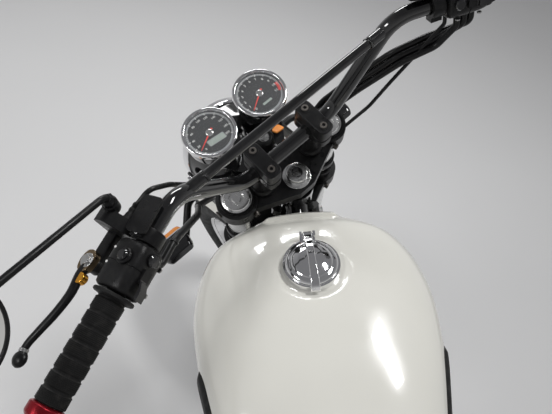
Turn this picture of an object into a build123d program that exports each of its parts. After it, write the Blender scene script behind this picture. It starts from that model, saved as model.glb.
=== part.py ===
from build123d import *
from math import acos, atan2, cos, degrees, hypot, pi, radians, sin, sqrt, tan
import os

# A cafe racer motorcycle parked on its side stand, in millimetres and degrees.
# It is modelled upright: +X ahead, +Y to the rider's left, +Z up, x = 0 midway between the axles,
# z = 0 on the ground. What steers is modelled in the fork's own frame: +Z up the steering stem,
# +X square to it and ahead, origin on top of the stem nut. At the end every piece is leaned over
# until both tyres and the stand's foot rest on z = 0, and the origin moves under the whole's middle.

# Stance
wheelbase = 1398.0
rake = 24.5
lean = 13.5
steering_lock = 37.0
stem_top_height = 969.0
running_clearance = 0.05
seat_gap = 0.3

# Wheels: ring radius is the tyre's radius less its crown radius
front_tyre_radius = 319.0
front_tyre_crown = 50.0
rear_tyre_radius = 320.0
rear_tyre_crown = 65.0
bead_radius = 229.0
front_bead_half = 32.0
rear_bead_half = 40.0
rim_depth = 17.0
lip_height = 7.0
spoke_count = 36
spoke_radius = 2.0
hub_radius = 26.0
flange_radius = 44.0
rim_sides = 72
hub_sides = 18
front_flange_y = 30.0
rear_flange_y = 36.0
axle_radius = 10.0
front_hub_half = 57.0
rear_hub_half = 80.0
disc_thickness = 5.0
front_disc_radius = 160.0
rear_disc_radius = 120.0
front_disc_y = 60.5
rear_disc_y = -79.0

# Fork
fork_offset = 32.0
fork_spacing = 95.0
stanchion_radius = 20.5
slider_radius = 26.0
slider_top = -392.0
fork_cap_drop = 6.0
fork_cap_radius = 23.5
stem_radius = 15.0
top_yoke_high = -12.0
top_yoke_low = -37.0
low_yoke_high = -170.0
low_yoke_low = -198.0
yoke_boss_radius = 32.0

# Handlebar, in the fork's frame
bar_radius = 11.1
bar_clamp = (22.0, 84.0, 54.0)
bar_bend = (21.0, 184.0, 179.0)
bar_end = (-73.0, 418.0, 187.0)
bar_bend_radius = 55.0
brace_share = 0.88
brace_radius = 6.5
riser_spacing = 50.0
riser_bolt_spread = 19.0
grip_length = 122.0
grip_radius = 17.0

# Instruments and lamps, in the fork's frame
gauge_ahead = 143.0
gauge_spacing = 53.0
gauge_radius = 45.0
gauge_depth = 52.0
lamp_ahead = 168.0
lamp_drop = -160.0
lamp_radius = 88.0

# Tank and filler cap
tank_top = 938.0
tank_bottom = 757.0
cap_x = 210.0
cap_pitch = 5.4
cap_radius = 36.0
recess_radius = 47.0
recess_depth = 3.0
lid_open = 100.0

# Frame
backbone_low = 762.0
backbone_mid = 792.0
backbone_high = 880.0
rail_front_z = 742.0
rail_back_z = 752.0
tube_radius = 14.0
rail_radius = 12.0
backbone_radius = 19.0
head_radius = 29.0
cradle_y = 105.0
cradle_z = 195.0
pivot_x = -215.0
pivot_z = 385.0
rail_y = 100.0

# Threaded holes in the swingarm for stand spools
spool_x = 108.0
spool_radius = 4.0
spool_depth = 18.0

# Engine
case_front = 172.0
case_back = -158.0
case_half = 115.0
case_low = 216.0
case_high = 436.0
fin_count = 9
fin_pitch = 17.0
fin_thickness = 5.0
barrel_x = 28.0

# Exhaust
pipe_radius = 20.0
muffler_radius = 42.0
muffler_length = 500.0
muffler_y = 205.0

# Drive
chain_y = 81.0
chain_pitch = 15.875
chain_width = 15.0
chain_gap = 9.4
front_teeth = 15
rear_teeth = 38
front_sprocket_x = -118.0
front_sprocket_z = 388.0

# Side stand, its foot's place in the upright frame
stand_pivot = (20.0, 131.0, 172.0)
stand_foot = (62.0, 292.0)
stand_radius = 10.0
foot_radius = 22.0
foot_thickness = 6.0
stand_fold = (-0.985, 0.12, 0.05)


def straight(start, end, radius):
    """A round bar from one point to another."""
    run = Vector(*end) - Vector(*start)
    return Solid.make_cylinder(radius, run.length, Plane(origin=start, z_dir=run))


def faceted(start, end, radius, sides):
    """A bar with a few flat sides from one point to another."""
    run = Vector(*end) - Vector(*start)
    return extrude(Plane(origin=start, z_dir=run) * RegularPolygon(radius, sides), amount=run.length)


def bent(points, radius, bend, sides=0):
    """A tube along straight runs joined by arcs."""
    path = FilletPolyline(*points, radius=bend)
    section = RegularPolygon(radius, sides) if sides else Circle(radius)
    return sweep((path ^ 0) * section, path=path)


def turned(profile, origin=(0, 0, 0), axis=(0, 0, 1)):
    """A closed profile of (radius, height) points turned about an axis."""
    outline = Face(Wire.make_polygon([Vector(r, 0, h) for r, h in profile]))
    return Plane(origin=origin, z_dir=axis).location * revolve(outline, axis=Axis.Z)


def solid_of(rings, closed=True):
    """A solid between rings of matching points: each ring is joined to the next by flat quads."""
    faces = []
    pairs = list(zip(rings, rings[1:] + rings[:1])) if closed else list(zip(rings, rings[1:]))
    for first, second in pairs:
        for a, b, c, d in zip(first, first[1:] + first[:1], second[1:] + second[:1], second):
            corners = []
            for corner in (a, b, c, d):
                if all((corner - other).length > 1e-6 for other in corners):
                    corners.append(corner)
            if len(corners) > 2:
                faces.append(Face(Wire.make_polygon(corners)))
    if not closed:
        faces += [Face(Wire.make_polygon(rings[0])), Face(Wire.make_polygon(rings[-1]))]
    solid = Solid(Shell(faces))
    return solid.clean() if solid.volume > 0 else solid_of([ring[::-1] for ring in rings], closed)


def flatted(profile, sides, origin=(0, 0, 0), axis=(0, 0, 1)):
    """A closed profile of (radius, height) points turned about an axis in a number of flat sides."""
    rings = []
    for k in range(sides):
        turn = 2 * pi * (k + 0.5) / sides
        rings.append([Vector(r * cos(turn), r * sin(turn), h) for r, h in profile])
    return Plane(origin=origin, z_dir=axis).location * solid_of(rings)


def rounded(points, bends, steps):
    """The points of a route with each corner replaced by a few points of an arc."""
    route = [Vector(*points[0])]
    for before, corner, after, radius in zip(points, points[1:], points[2:], bends):
        corner = Vector(*corner)
        back = (Vector(*before) - corner).normalized()
        on = (Vector(*after) - corner).normalized()
        half = radians(back.get_angle(on)) / 2
        reach = radius / tan(half)
        middle = corner + (back + on).normalized() * (radius / sin(half))
        start = corner + back * reach
        end = corner + on * reach
        for k in range(steps + 1):
            share = k / steps
            chord = (start * (1 - share) + end * share) - middle
            route.append(middle + chord.normalized() * radius)
    return route + [Vector(*points[-1])]


def tube(points, radius, sides, bends=(), steps=3):
    """A flat-sided tube along a route whose corners are bent and whose joints are mitred."""
    route = rounded(points, bends, steps) if bends else [Vector(*p) for p in points]
    runs = [(b - a).normalized() for a, b in zip(route, route[1:])]
    side = Vector(0, 0, 1) if abs(runs[0].Y) > 0.9 else Vector(0, 1, 0)
    plane = Plane(origin=route[0], x_dir=side - runs[0] * side.dot(runs[0]), z_dir=runs[0])
    ring = [plane.from_local_coords((radius * cos(2 * pi * (k + 0.5) / sides),
                                     radius * sin(2 * pi * (k + 0.5) / sides), 0)) for k in range(sides)]
    rings = [ring]
    for k in range(1, len(route)):
        normal = runs[k - 1] if k == len(route) - 1 else runs[k - 1] + runs[k]
        ring = [p + runs[k - 1] * ((route[k] - p).dot(normal) / runs[k - 1].dot(normal)) for p in ring]
        rings.append(ring)
    return solid_of(rings, False)


def upright_slab(points, y_low, y_high):
    """A flat plate standing fore and aft, from (x, z) points."""
    outline = Face(Wire.make_polygon([Vector(x, y_low, z) for x, z in points]))
    return extrude(outline, amount=y_high - y_low, dir=(0, 1, 0))


def level_slab(points, z_low, z_high):
    """A flat plate lying level, from (x, y) points."""
    outline = Face(Wire.make_polygon([Vector(x, y, z_low) for x, y in points]))
    return extrude(outline, amount=z_high - z_low, dir=(0, 0, 1))


def block(low, high):
    """A box between two corners."""
    size = [b - a for a, b in zip(low, high)]
    middle = [(a + b) / 2 for a, b in zip(low, high)]
    return Pos(*middle) * Box(*size)


def chamfered(half_x, half_y, cut):
    """An eight-sided outline: a rectangle with its corners cut."""
    return [(half_x - cut, -half_y), (half_x, cut - half_y), (half_x, half_y - cut), (half_x - cut, half_y),
            (cut - half_x, half_y), (-half_x, half_y - cut), (-half_x, cut - half_y), (cut - half_x, -half_y)]


def joined(first, *others):
    """Several touching or crossing solids as one."""
    for other in others:
        first = first + other
    return first


# Places that follow from the driving dimensions
front_axle_x = wheelbase / 2
rear_axle_x = -wheelbase / 2
trail = (front_tyre_radius * sin(radians(rake)) - fork_offset) / cos(radians(rake))
stem_foot_x = front_axle_x + trail
stem_x = stem_foot_x - stem_top_height * tan(radians(rake))
stem_ahead = Vector(cos(radians(rake)), 0, sin(radians(rake)))
stem_up = Vector(-sin(radians(rake)), 0, cos(radians(rake)))
axle_from_stem = Vector(front_axle_x - stem_x, 0, front_tyre_radius - stem_top_height)
axle_drop = axle_from_stem.dot(stem_up)
forward = Vector(cos(radians(rake)), 0, -sin(radians(rake)))
upward = Vector(sin(radians(rake)), 0, cos(radians(rake)))


def tyre_profile(radius, crown, bead_half):
    """(height, radius) corners of half a tyre: flats that touch the crown circle, one of them level when leaned."""
    reach = crown / cos(radians(lean))
    ring = radius - crown
    corners = [(reach * sin(radians(2 * lean * k)), ring + reach * cos(radians(2 * lean * k))) for k in range(4)]
    return corners + [(bead_half, bead_radius)]


def tyre(radius, crown, bead_half):
    half = tyre_profile(radius, crown, bead_half)
    left = [(r, h) for h, r in half]
    right = [(r, -h) for r, h in reversed(left[1:])]
    return turned(left + right, axis=(0, 1, 0))


def wheel(bead_half, hub_half, flange_y):
    """Rim, laced spokes and hub, joined, turning about the Y axis at the origin."""
    seat = bead_radius - seat_gap
    body = flatted([(seat + lip_height, bead_half + 6), (seat, bead_half + 1), (seat, -bead_half - 1),
                    (seat + lip_height, -bead_half - 6), (seat - rim_depth, -bead_half / 2),
                    (seat - rim_depth, bead_half / 2)], rim_sides, axis=(0, 1, 0))
    r = (axle_radius + running_clearance) / cos(pi / hub_sides)
    hub = flatted([(r, -hub_half), (hub_radius, -hub_half), (hub_radius, -flange_y - 5), (flange_radius, -flange_y - 5),
                   (flange_radius, 5 - flange_y), (hub_radius, 5 - flange_y), (hub_radius, flange_y - 5),
                   (flange_radius, flange_y - 5), (flange_radius, flange_y + 5), (hub_radius, flange_y + 5),
                   (hub_radius, hub_half), (r, hub_half)], hub_sides, axis=(0, 1, 0))
    for k in range(spoke_count):
        side = 1 if k % 2 else -1
        lean_way = 1 if (k // 2) % 2 else -1
        out = 2 * pi * (k + 0.5) / spoke_count
        root = out + radians(62 * lean_way)
        start_y = side * (flange_y - 0.5 + 2.1 * lean_way)
        inner = ((flange_radius - 5) * cos(root), start_y, (flange_radius - 5) * sin(root))
        outer = ((seat - rim_depth + 4) * cos(out), 0, (seat - rim_depth + 4) * sin(out))
        body = body + faceted(inner, outer, spoke_radius, 4)
    return body + hub


def brake_disc(radius, y):
    """A disc with five arms to its centre and an open ring between."""
    low = y - disc_thickness / 2
    ring = turned([(radius * 0.72, low), (radius, low), (radius, low + disc_thickness),
                   (radius * 0.72, low + disc_thickness)], axis=(0, 1, 0))
    centre = turned([(hub_radius + 1, low), (flange_radius, low), (flange_radius, low + disc_thickness),
                     (hub_radius + 1, low + disc_thickness)], axis=(0, 1, 0))
    arms = []
    for k in range(5):
        turn = k * 72
        arm = block((flange_radius - 4, low, -9), (radius * 0.76, low + disc_thickness, 9))
        arms.append(Rot(0, turn, 0) * arm)
    return joined(centre, ring, *arms)


def sprocket(teeth, width, bore):
    """A toothed plate turning about the Y axis, with one tooth at each pitch."""
    pitch_radius = chain_pitch / (2 * sin(pi / teeth))
    outline = []
    for k in range(teeth):
        for share, reach in ((-0.22, -4.6), (0.22, -4.6), (0.42, 3.4), (0.58, 3.4)):
            turn = 2 * pi * (k + share) / teeth
            outline.append(((pitch_radius + reach) * cos(turn), (pitch_radius + reach) * sin(turn)))
    plate = upright_slab(outline, -width / 2, width / 2)
    return plate - Solid.make_cylinder(bore, width + 2, Plane(origin=(0, -width / 2 - 1, 0), z_dir=(0, 1, 0)))


# Fork, yokes and stem in the fork's frame
def fork_leg(side):
    y = side * fork_spacing
    leg = turned([(0, 0), (fork_cap_radius, 0), (fork_cap_radius, -5.5), (stanchion_radius, -5.5),
                  (stanchion_radius, slider_top), (slider_radius + 2, slider_top), (slider_radius + 2, slider_top - 14),
                  (slider_radius, slider_top - 20), (slider_radius, axle_drop - 12), (16, axle_drop - 24),
                  (0, axle_drop - 24)],
                 origin=(fork_offset, y, 0))
    leg = Pos(0, 0, -fork_cap_drop) * leg
    hole = straight((fork_offset, y - 40, axle_drop), (fork_offset, y + 40, axle_drop), axle_radius + running_clearance)
    return leg - hole


def yoke(high, low, ahead):
    """A yoke plate with three bosses, drilled for the legs."""
    outline = [(-26, -14), (-26, 14), (fork_offset - 24, fork_spacing), (fork_offset + 20, fork_spacing),
               (ahead, 34), (ahead, -34), (fork_offset + 20, -fork_spacing), (fork_offset - 24, -fork_spacing)]
    plate = level_slab(outline, low + 3, high - 3)
    bosses = [Pos(fork_offset, s * fork_spacing, low) * extrude(Circle(yoke_boss_radius), amount=high - low)
              for s in (1, -1)]
    body = joined(plate, *bosses)
    for s in (1, -1):
        body = body - straight((fork_offset, s * fork_spacing, low - 1), (fork_offset, s * fork_spacing, high + 1),
                               stanchion_radius + seat_gap)
    return body


def yokes():
    top = yoke(top_yoke_high, top_yoke_low, fork_offset + 26)
    low = yoke(low_yoke_high, low_yoke_low, fork_offset + 22)
    stem = straight((0, 0, low_yoke_low), (0, 0, top_yoke_high), stem_radius)
    nut = straight((0, 0, top_yoke_high), (0, 0, 0), 16.5)
    nut = nut - extrude(Pos(0, 0, -6) * RegularPolygon(8, 6), amount=8)
    return joined(top, low, stem, nut)


def handlebar():
    """The bar with its brace, one bent tube."""
    cx, cy, cz = bar_clamp
    half = [(cx, cy, cz), bar_bend, bar_end]
    points = [(x, -y, z) for x, y, z in reversed(half)] + half
    radii = [bar_bend_radius, 40.0, 40.0, bar_bend_radius]
    path = FilletPolyline(*points, radius=radii)
    tube = sweep((path ^ 0) * Circle(bar_radius), path=path)
    x, y, z = (a + (b - a) * brace_share for a, b in zip(bar_clamp, bar_bend))
    brace = straight((x, -y, z), (x, y, z), brace_radius)
    return joined(tube, brace)


def risers():
    """Two clamps from the top yoke to the bar, each with a cap and two bolt recesses."""
    cx, cy, cz = bar_clamp
    clamps = []
    for s in (1, -1):
        y = s * riser_spacing
        post = straight((cx, y, top_yoke_high), (cx, y, cz - 8), 17)
        head = Pos(cx, y, cz + 5) * extrude(Pos(0, 0, -21) * RectangleRounded(2 * riser_bolt_spread + 24, 25, 11), amount=42)
        clamp = joined(post, head)
        for b in (1, -1):
            x = cx + b * riser_bolt_spread
            clamp = clamp - straight((x, y, cz + 18), (x, y, cz + 30), 6)
            clamp = clamp + straight((x, y, cz + 17), (x, y, cz + 24), 4.6)
        clamp = clamp - straight((cx, y - 20, cz), (cx, y + 20, cz), bar_radius + seat_gap)
        clamps.append(clamp)
    return clamps


bar_run = (Vector(*bar_end) - Vector(*bar_bend)).normalized()


def on_bar(side, inboard):
    """A point of the bar's outer straight, by its distance in from the end."""
    point = Vector(*bar_end) - bar_run * inboard
    return Vector(point.X, side * point.Y, point.Z)


def bar_frame(side, inboard):
    """A plane on the bar: Z out along it, X ahead and square to it."""
    out = Vector(bar_run.X, side * bar_run.Y, bar_run.Z)
    ahead = forward - out * forward.dot(out)
    return Plane(origin=on_bar(side, inboard), x_dir=ahead, z_dir=out)


def grip(side):
    """A ribbed rubber sleeve with a flange at its inner end and a bar end weight."""
    inner = bar_radius + seat_gap
    r = grip_radius
    profile = [(inner, 0), (r + 7, 0), (r + 7, 4)]
    ribs = 7
    pitch = (grip_length - 8) / ribs
    for k in range(ribs):
        start = 4 + k * pitch
        profile += [(r - 1.5, start + 2), (r, start + 4), (r, start + pitch - 2)]
    profile += [(r - 2, grip_length), (inner, grip_length)]
    return bar_frame(side, grip_length).location * turned(profile)


def switch_block(side):
    """The switch housing round the bar beside the grip."""
    body = RectangleRounded(46, 42, 12)
    body = extrude(body, amount=44)
    body = body - Solid.make_cylinder(bar_radius + seat_gap, 50, Plane(origin=(0, 0, -2), z_dir=(0, 0, 1)))
    rocker = Pos(-6, side * 22, 14) * Box(16, 7, 14)
    return bar_frame(side, grip_length + 46).location * joined(body, rocker)


def perch(side):
    """The clamp that carries the lever and the mirror."""
    ring = extrude(Circle(18), amount=20) - extrude(Circle(bar_radius + seat_gap), amount=20)
    arm = block((16, -7, 2), (50, 7, 18))
    return bar_frame(side, grip_length + 74).location * joined(ring, arm)


def lever(side):
    """A lever of one cast piece, from its pivot on the perch out along the grip."""
    up = -side
    points = [(38, -6), (52, -8), (60, 30), (64, 80), (60, 150), (52, 186), (40, 190), (46, 150), (50, 80), (46, 34),
              (36, 6)]
    body = upright_slab(points, -4.5, 4.5)
    return bar_frame(side, grip_length + 74).location * (Pos(0, up * (7 + seat_gap + 4.5), 0) * body)


def rear_view_mirror(side):
    """A round mirror on a bent stem, screwed into the perch."""
    up = -side
    stem = [(26, up * (7 + seat_gap), 10), (28, up * 50, 10), (40, up * 120, 70), (20, up * 150, 150)]
    rod = bent(stem, 4.5, 18)
    head = turned([(0, -7), (48, -9), (58, -4), (60, 4), (0, 4)], origin=(20, up * 150, 200),
                  axis=(-1, up * 0.15, -0.12))
    return bar_frame(side, grip_length + 74).location * joined(rod, head)


def gauge(side):
    """A round instrument cup with a raised bezel."""
    r = gauge_radius
    profile = [(0, -3), (r - 5, -3), (r - 4, 0), (r, 0), (r, -8), (r - 2, -12), (r - 4, 14 - gauge_depth),
               (r - 16, -gauge_depth), (0, -gauge_depth)]
    return turned(profile, origin=(gauge_ahead, side * gauge_spacing, 0))


def gauge_bracket():
    """A plate under both instruments, reaching back to the top yoke."""
    z = -gauge_depth - seat_gap
    outline = [(fork_offset + 20, -30), (gauge_ahead - 40, -gauge_spacing - 12), (gauge_ahead + 12, -gauge_spacing - 14),
               (gauge_ahead + 18, 0), (gauge_ahead + 12, gauge_spacing + 14), (gauge_ahead - 40, gauge_spacing + 12),
               (fork_offset + 20, 30)]
    plate = level_slab(outline, z - 3, z)
    tab = block((fork_offset + 20, -20, z - 3), (fork_offset + 26, 20, top_yoke_low - seat_gap))
    for x in (75, 95, 115, 135):
        for y in (-24, 0, 24):
            plate = plate - Pos(x, y, z - 4) * extrude(RegularPolygon(6, 6), amount=6)
    return joined(plate, tab)


def headlamp():
    """The lamp's shell and rim, facing level ahead, with an ear each side."""
    r = lamp_radius
    shell = turned([(0, 42), (r - 14, 36), (r - 4, 30), (r, 28), (r, 14), (r - 4, 10), (r - 8, -30), (r - 34, -66),
                    (0, -76)], origin=(lamp_ahead, 0, lamp_drop), axis=forward)
    root = fork_offset + stanchion_radius + seat_gap
    side_view = [(root, -162), (root, -118), (lamp_ahead + 10, lamp_drop + 12), (lamp_ahead + 10, lamp_drop - 12)]
    ears = [upright_slab(side_view, s * (fork_spacing - 2) - 2, s * (fork_spacing - 2) + 2) for s in (1, -1)]
    bolt = straight((lamp_ahead, -fork_spacing - 3, lamp_drop), (lamp_ahead, fork_spacing + 3, lamp_drop), 6)
    return joined(shell, *ears, bolt)


def front_indicators():
    """Two lamps on stalks beside the headlamp."""
    lamps = []
    for s in (1, -1):
        y = s * (fork_spacing + 3)
        stalk = straight((lamp_ahead - 30, s * (fork_spacing + seat_gap), lamp_drop), (lamp_ahead - 30, y + s * 42, lamp_drop), 6)
        body = turned([(0, -30), (16, -26), (26, -9), (26, 10), (20, 17), (0, 19)],
                      origin=(lamp_ahead - 30, s * (abs(y) + 62), lamp_drop), axis=forward)
        lamps.append(joined(stalk, body))
    return lamps


def arch(radius, thickness, half, drop, start, end):
    """A mudguard: a shallow channel turned part way round the Y axis."""
    points = [(radius, -half * 0.6), (radius - drop, -half), (radius - drop + thickness, -half - thickness),
              (radius + thickness, -half * 0.6 - 1), (radius + thickness, half * 0.6 + 1),
              (radius - drop + thickness, half + thickness), (radius - drop, half), (radius, half * 0.6)]
    outline = Face(Wire.make_polygon([Vector(r, y, 0) for r, y in points]))
    return revolve(Rot(0, -start, 0) * outline, axis=-Axis.Y, revolution_arc=end - start)


def front_mudguard():
    guard = arch(front_tyre_radius + 22, 2.5, 57, 16, 35, 150)
    guard = Pos(fork_offset, 0, axle_drop) * guard
    reach = fork_spacing - slider_radius - 2 - seat_gap
    stays = [block((fork_offset - 12, min(s * 56, s * reach), axle_drop + 318),
                   (fork_offset + 12, max(s * 56, s * reach), axle_drop + 330)) for s in (1, -1)]
    return joined(guard, *stays)


def front_axle():
    end = fork_spacing + slider_radius + 4
    pin = straight((fork_offset, -end, axle_drop), (fork_offset, end, axle_drop), axle_radius)
    collars = [straight((fork_offset, s * (front_hub_half + 0.5), axle_drop),
                        (fork_offset, s * (fork_spacing - slider_radius - seat_gap), axle_drop), 15) for s in (1, -1)]
    heads = [faceted((fork_offset, s * (end - 3), axle_drop), (fork_offset, s * (end + 9), axle_drop), 15, 6)
             for s in (1, -1)]
    return joined(pin, *collars, *heads)


def caliper(radius, y, reach):
    """A brake caliper that straddles the disc, by its own frame: X out from the axle."""
    body = block((radius - 42, y - 26, -42), (radius + 14, y + 34, 42))
    slot = block((radius - 60, y - disc_thickness / 2 - 3, -60), (radius + 6, y + disc_thickness / 2 + 3, 60))
    return body - slot


def front_caliper():
    body = Rot(0, -150, 0) * caliper(front_disc_radius, front_disc_y, 0)
    body = Pos(fork_offset, 0, axle_drop) * body
    leg = straight((fork_offset, fork_spacing, axle_drop - 60), (fork_offset, fork_spacing, axle_drop + 300), slider_radius + seat_gap)
    return body - leg


# Parking: find the pitch and the height at which both tyres stand on z = 0 at this lean
fork_place = Plane(origin=(stem_x, 0, stem_top_height), x_dir=stem_ahead, z_dir=stem_up).location
steered = fork_place * Rot(0, 0, steering_lock)
front_wheel_place = steered * Pos(fork_offset, 0, axle_drop)
rear_wheel_place = Pos(rear_axle_x, 0, rear_tyre_radius)


def lowest(place, profile):
    """The height of the lowest point of a wheel turning about its place's Y axis."""
    plane = Plane(place)
    tilt = abs(plane.y_dir.Z)
    reach = max(r * sqrt(1 - tilt * tilt) + h * tilt for h, r in profile)
    return plane.origin.Z - reach


def leaned(pitch, height=0.0):
    return Pos(0, 0, height) * Rot(-lean, 0, 0) * Rot(0, pitch, 0)


pitch = 0.0
for step in range(12):
    gap_front = lowest(leaned(pitch) * front_wheel_place, tyre_profile(front_tyre_radius, front_tyre_crown, front_bead_half))
    gap_rear = lowest(leaned(pitch) * rear_wheel_place, tyre_profile(rear_tyre_radius, rear_tyre_crown, rear_bead_half))
    pitch += degrees((gap_front - gap_rear) / wheelbase)
park = leaned(pitch, -gap_rear)


def direction(place, vector):
    """A direction carried along with a place."""
    plane = Plane(place)
    x, y, z = vector
    return plane.x_dir * x + plane.y_dir * y + plane.z_dir * z


# The stand in the upright frame: its foot lies where the leaned ground is
ground_point = (park * Pos(stand_foot[0], stand_foot[1], 0)).position
stand_hinge = Vector(*stand_pivot)
stand_tip = (park.inverse() * Pos(ground_point.X, ground_point.Y, foot_thickness / 2)).position
stand_down = (stand_tip - stand_hinge).normalized()
stand_folded = Vector(*stand_fold).normalized()
stand_axis = stand_down.cross(stand_folded).normalized()
stand_angle = stand_down.get_angle(stand_folded)
stand_half = stand_radius + 1.5
stand_pin = 5.0
knuckle_radius = 15.0


# Tank, cap and seat in the upright frame
# columns: x, half width, height of the widest line, top height, half width of the bottom
tank_rows = [
    (330.0, 86.0, 866.0, 922.0, 74.0),
    (280.0, 134.0, 868.0, 934.0, 110.0),
    (180.0, 164.0, 868.0, 938.0, 132.0),
    (20.0, 142.0, 852.0, 918.0, 112.0),
    (-160.0, 108.0, 830.0, 858.0, 92.0),
]


def tank_section(x, half, wide, top, low_half):
    """One upright section: flat bottom, leaning side, shoulder arc and crown arc."""
    left = [(low_half, tank_bottom), (half, wide - 22), (half - 8, wide + 22), (half * 0.62, top - 10), (0, top)]
    line = Line(left[0], left[1])
    shoulder = ThreePointArc(left[1], (half + 1, wide), left[2])
    over = ThreePointArc(left[2], (half * 0.86, (wide + 22) * 0.3 + (top - 10) * 0.7), left[3])
    crown = ThreePointArc(left[3], (half * 0.32, top - 2.5), left[4])
    side = Curve() + line + shoulder + over + crown
    whole = side + mirror(side, about=Plane.YZ) + Line((-low_half, tank_bottom), (low_half, tank_bottom))
    return Plane(origin=(x, 0, 0), x_dir=(0, 1, 0), z_dir=(1, 0, 0)) * make_face(whole)


def fuel_tank():
    """The tank as one loft through upright sections, with its tunnel and filler recess."""
    body = loft([tank_section(*row) for row in tank_rows])
    room = backbone_radius + 12
    tunnel = upright_slab([(-400, 700), (-400, backbone_low + room), (150, backbone_mid + room),
                           (400, backbone_high + room), (400, 700)], -room, room)
    tunnel = tunnel + block((-400, -200, 700), (-70, 200, rail_front_z + 30))
    recess = cap_place * extrude(Pos(0, 0, -recess_depth) * Circle(recess_radius), amount=40)
    low = rail_front_z + 34
    inner = [(-146, low), (-146, 830), (20, 890), (180, 910), (270, 906), (314, 876), (314, low)]
    outer = [(-30, low), (-30, 846), (60, 874), (200, 882), (258, 872), (258, low)]
    for s in (1, -1):
        body = body - upright_slab(inner, min(s * 38, s * 78), max(s * 38, s * 78))
        body = body - upright_slab(outer, min(s * 77, s * 120), max(s * 77, s * 120))
    return body - tunnel - recess


cap_place = Plane(origin=(cap_x, 0, tank_top), x_dir=(cos(radians(cap_pitch)), 0, sin(radians(cap_pitch))),
                  z_dir=(-sin(radians(cap_pitch)), 0, cos(radians(cap_pitch)))).location
hinge_out = cap_radius + 9.0
hinge_up = 10.0
hinge_pin = 2.0


def filler_collar():
    """The ring that the cap closes on, with the two ears and the pin of its hinge."""
    base = -recess_depth
    ring = turned([(cap_radius - 8, base), (cap_radius + 4, base), (cap_radius + 3, 6), (cap_radius - 8, 6)])
    floor = Pos(0, 0, base) * extrude(Circle(cap_radius - 6), amount=2)
    foot = block((cap_radius, -11, base), (hinge_out + 3, 11, 2))
    ears = [block((hinge_out - 3.5, min(s * 7.5, s * 11), 1), (hinge_out + 3.5, max(s * 7.5, s * 11), hinge_up + 3.5))
            for s in (1, -1)]
    pin = straight((hinge_out, -11, hinge_up), (hinge_out, 11, hinge_up), hinge_pin)
    return cap_place * joined(ring, floor, foot, *ears, pin)


def cap_lid():
    """The domed flip lid, its fore and aft strap, latch and knuckle."""
    r = cap_radius
    dome = turned([(0, 6.3), (r, 6.3), (r, 9), (r - 5, 13), (r - 14, 16.5), (r - 26, 18), (0, 18)])
    strap = upright_slab([(hinge_out - 4, 8), (hinge_out, 13), (r - 5, 17), (0, 21), (5 - r, 17), (-r - 8, 9),
                          (-r - 8, 3), (-r - 5, 3), (-r - 5, 8), (3 - r, 12), (0, 15), (r - 3, 12), (hinge_out - 6, 7)], -6.5, 6.5)
    knuckle = straight((hinge_out, -6.5, hinge_up), (hinge_out, 6.5, hinge_up), 4.2)
    bore = straight((hinge_out, -7, hinge_up), (hinge_out, 7, hinge_up), hinge_pin + running_clearance)
    return cap_place * (joined(dome, strap, knuckle) - bore)


def knee_pads():
    """Rubber pads on the tank's flanks."""
    pads = []
    for s in (1, -1):
        outline = [(96, 896), (106, 888), (100, 850), (60, 812), (-90, 800), (-104, 812), (-104, 838), (-60, 862), (60, 892)]
        slab = upright_slab(outline, min(s * 60, s * 190), max(s * 60, s * 190))
        pads.append(slab)
    return pads


seat_rows = [(-172, 92, 800, 838), (-300, 118, 786, 818), (-470, 128, 778, 816), (-620, 112, 784, 836), (-690, 84, 800, 846)]


def seat():
    """The padded saddle as one loft through rounded sections."""
    sections = []
    for x, half, low, high in seat_rows:
        plane = Plane(origin=(x, 0, (low + high) / 2), x_dir=(0, 1, 0), z_dir=(1, 0, 0))
        sections.append(plane * RectangleRounded(2 * half, high - low, 14))
    return loft(sections)


def seat_pan():
    points = [(-176, -78), (-300, -104), (-620, -100), (-684, -76), (-684, 76), (-620, 100), (-300, 104), (-176, 78)]
    return level_slab(points, rail_high, rail_high + 3)


rail_high = rail_back_z + rail_radius + seat_gap


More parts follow.
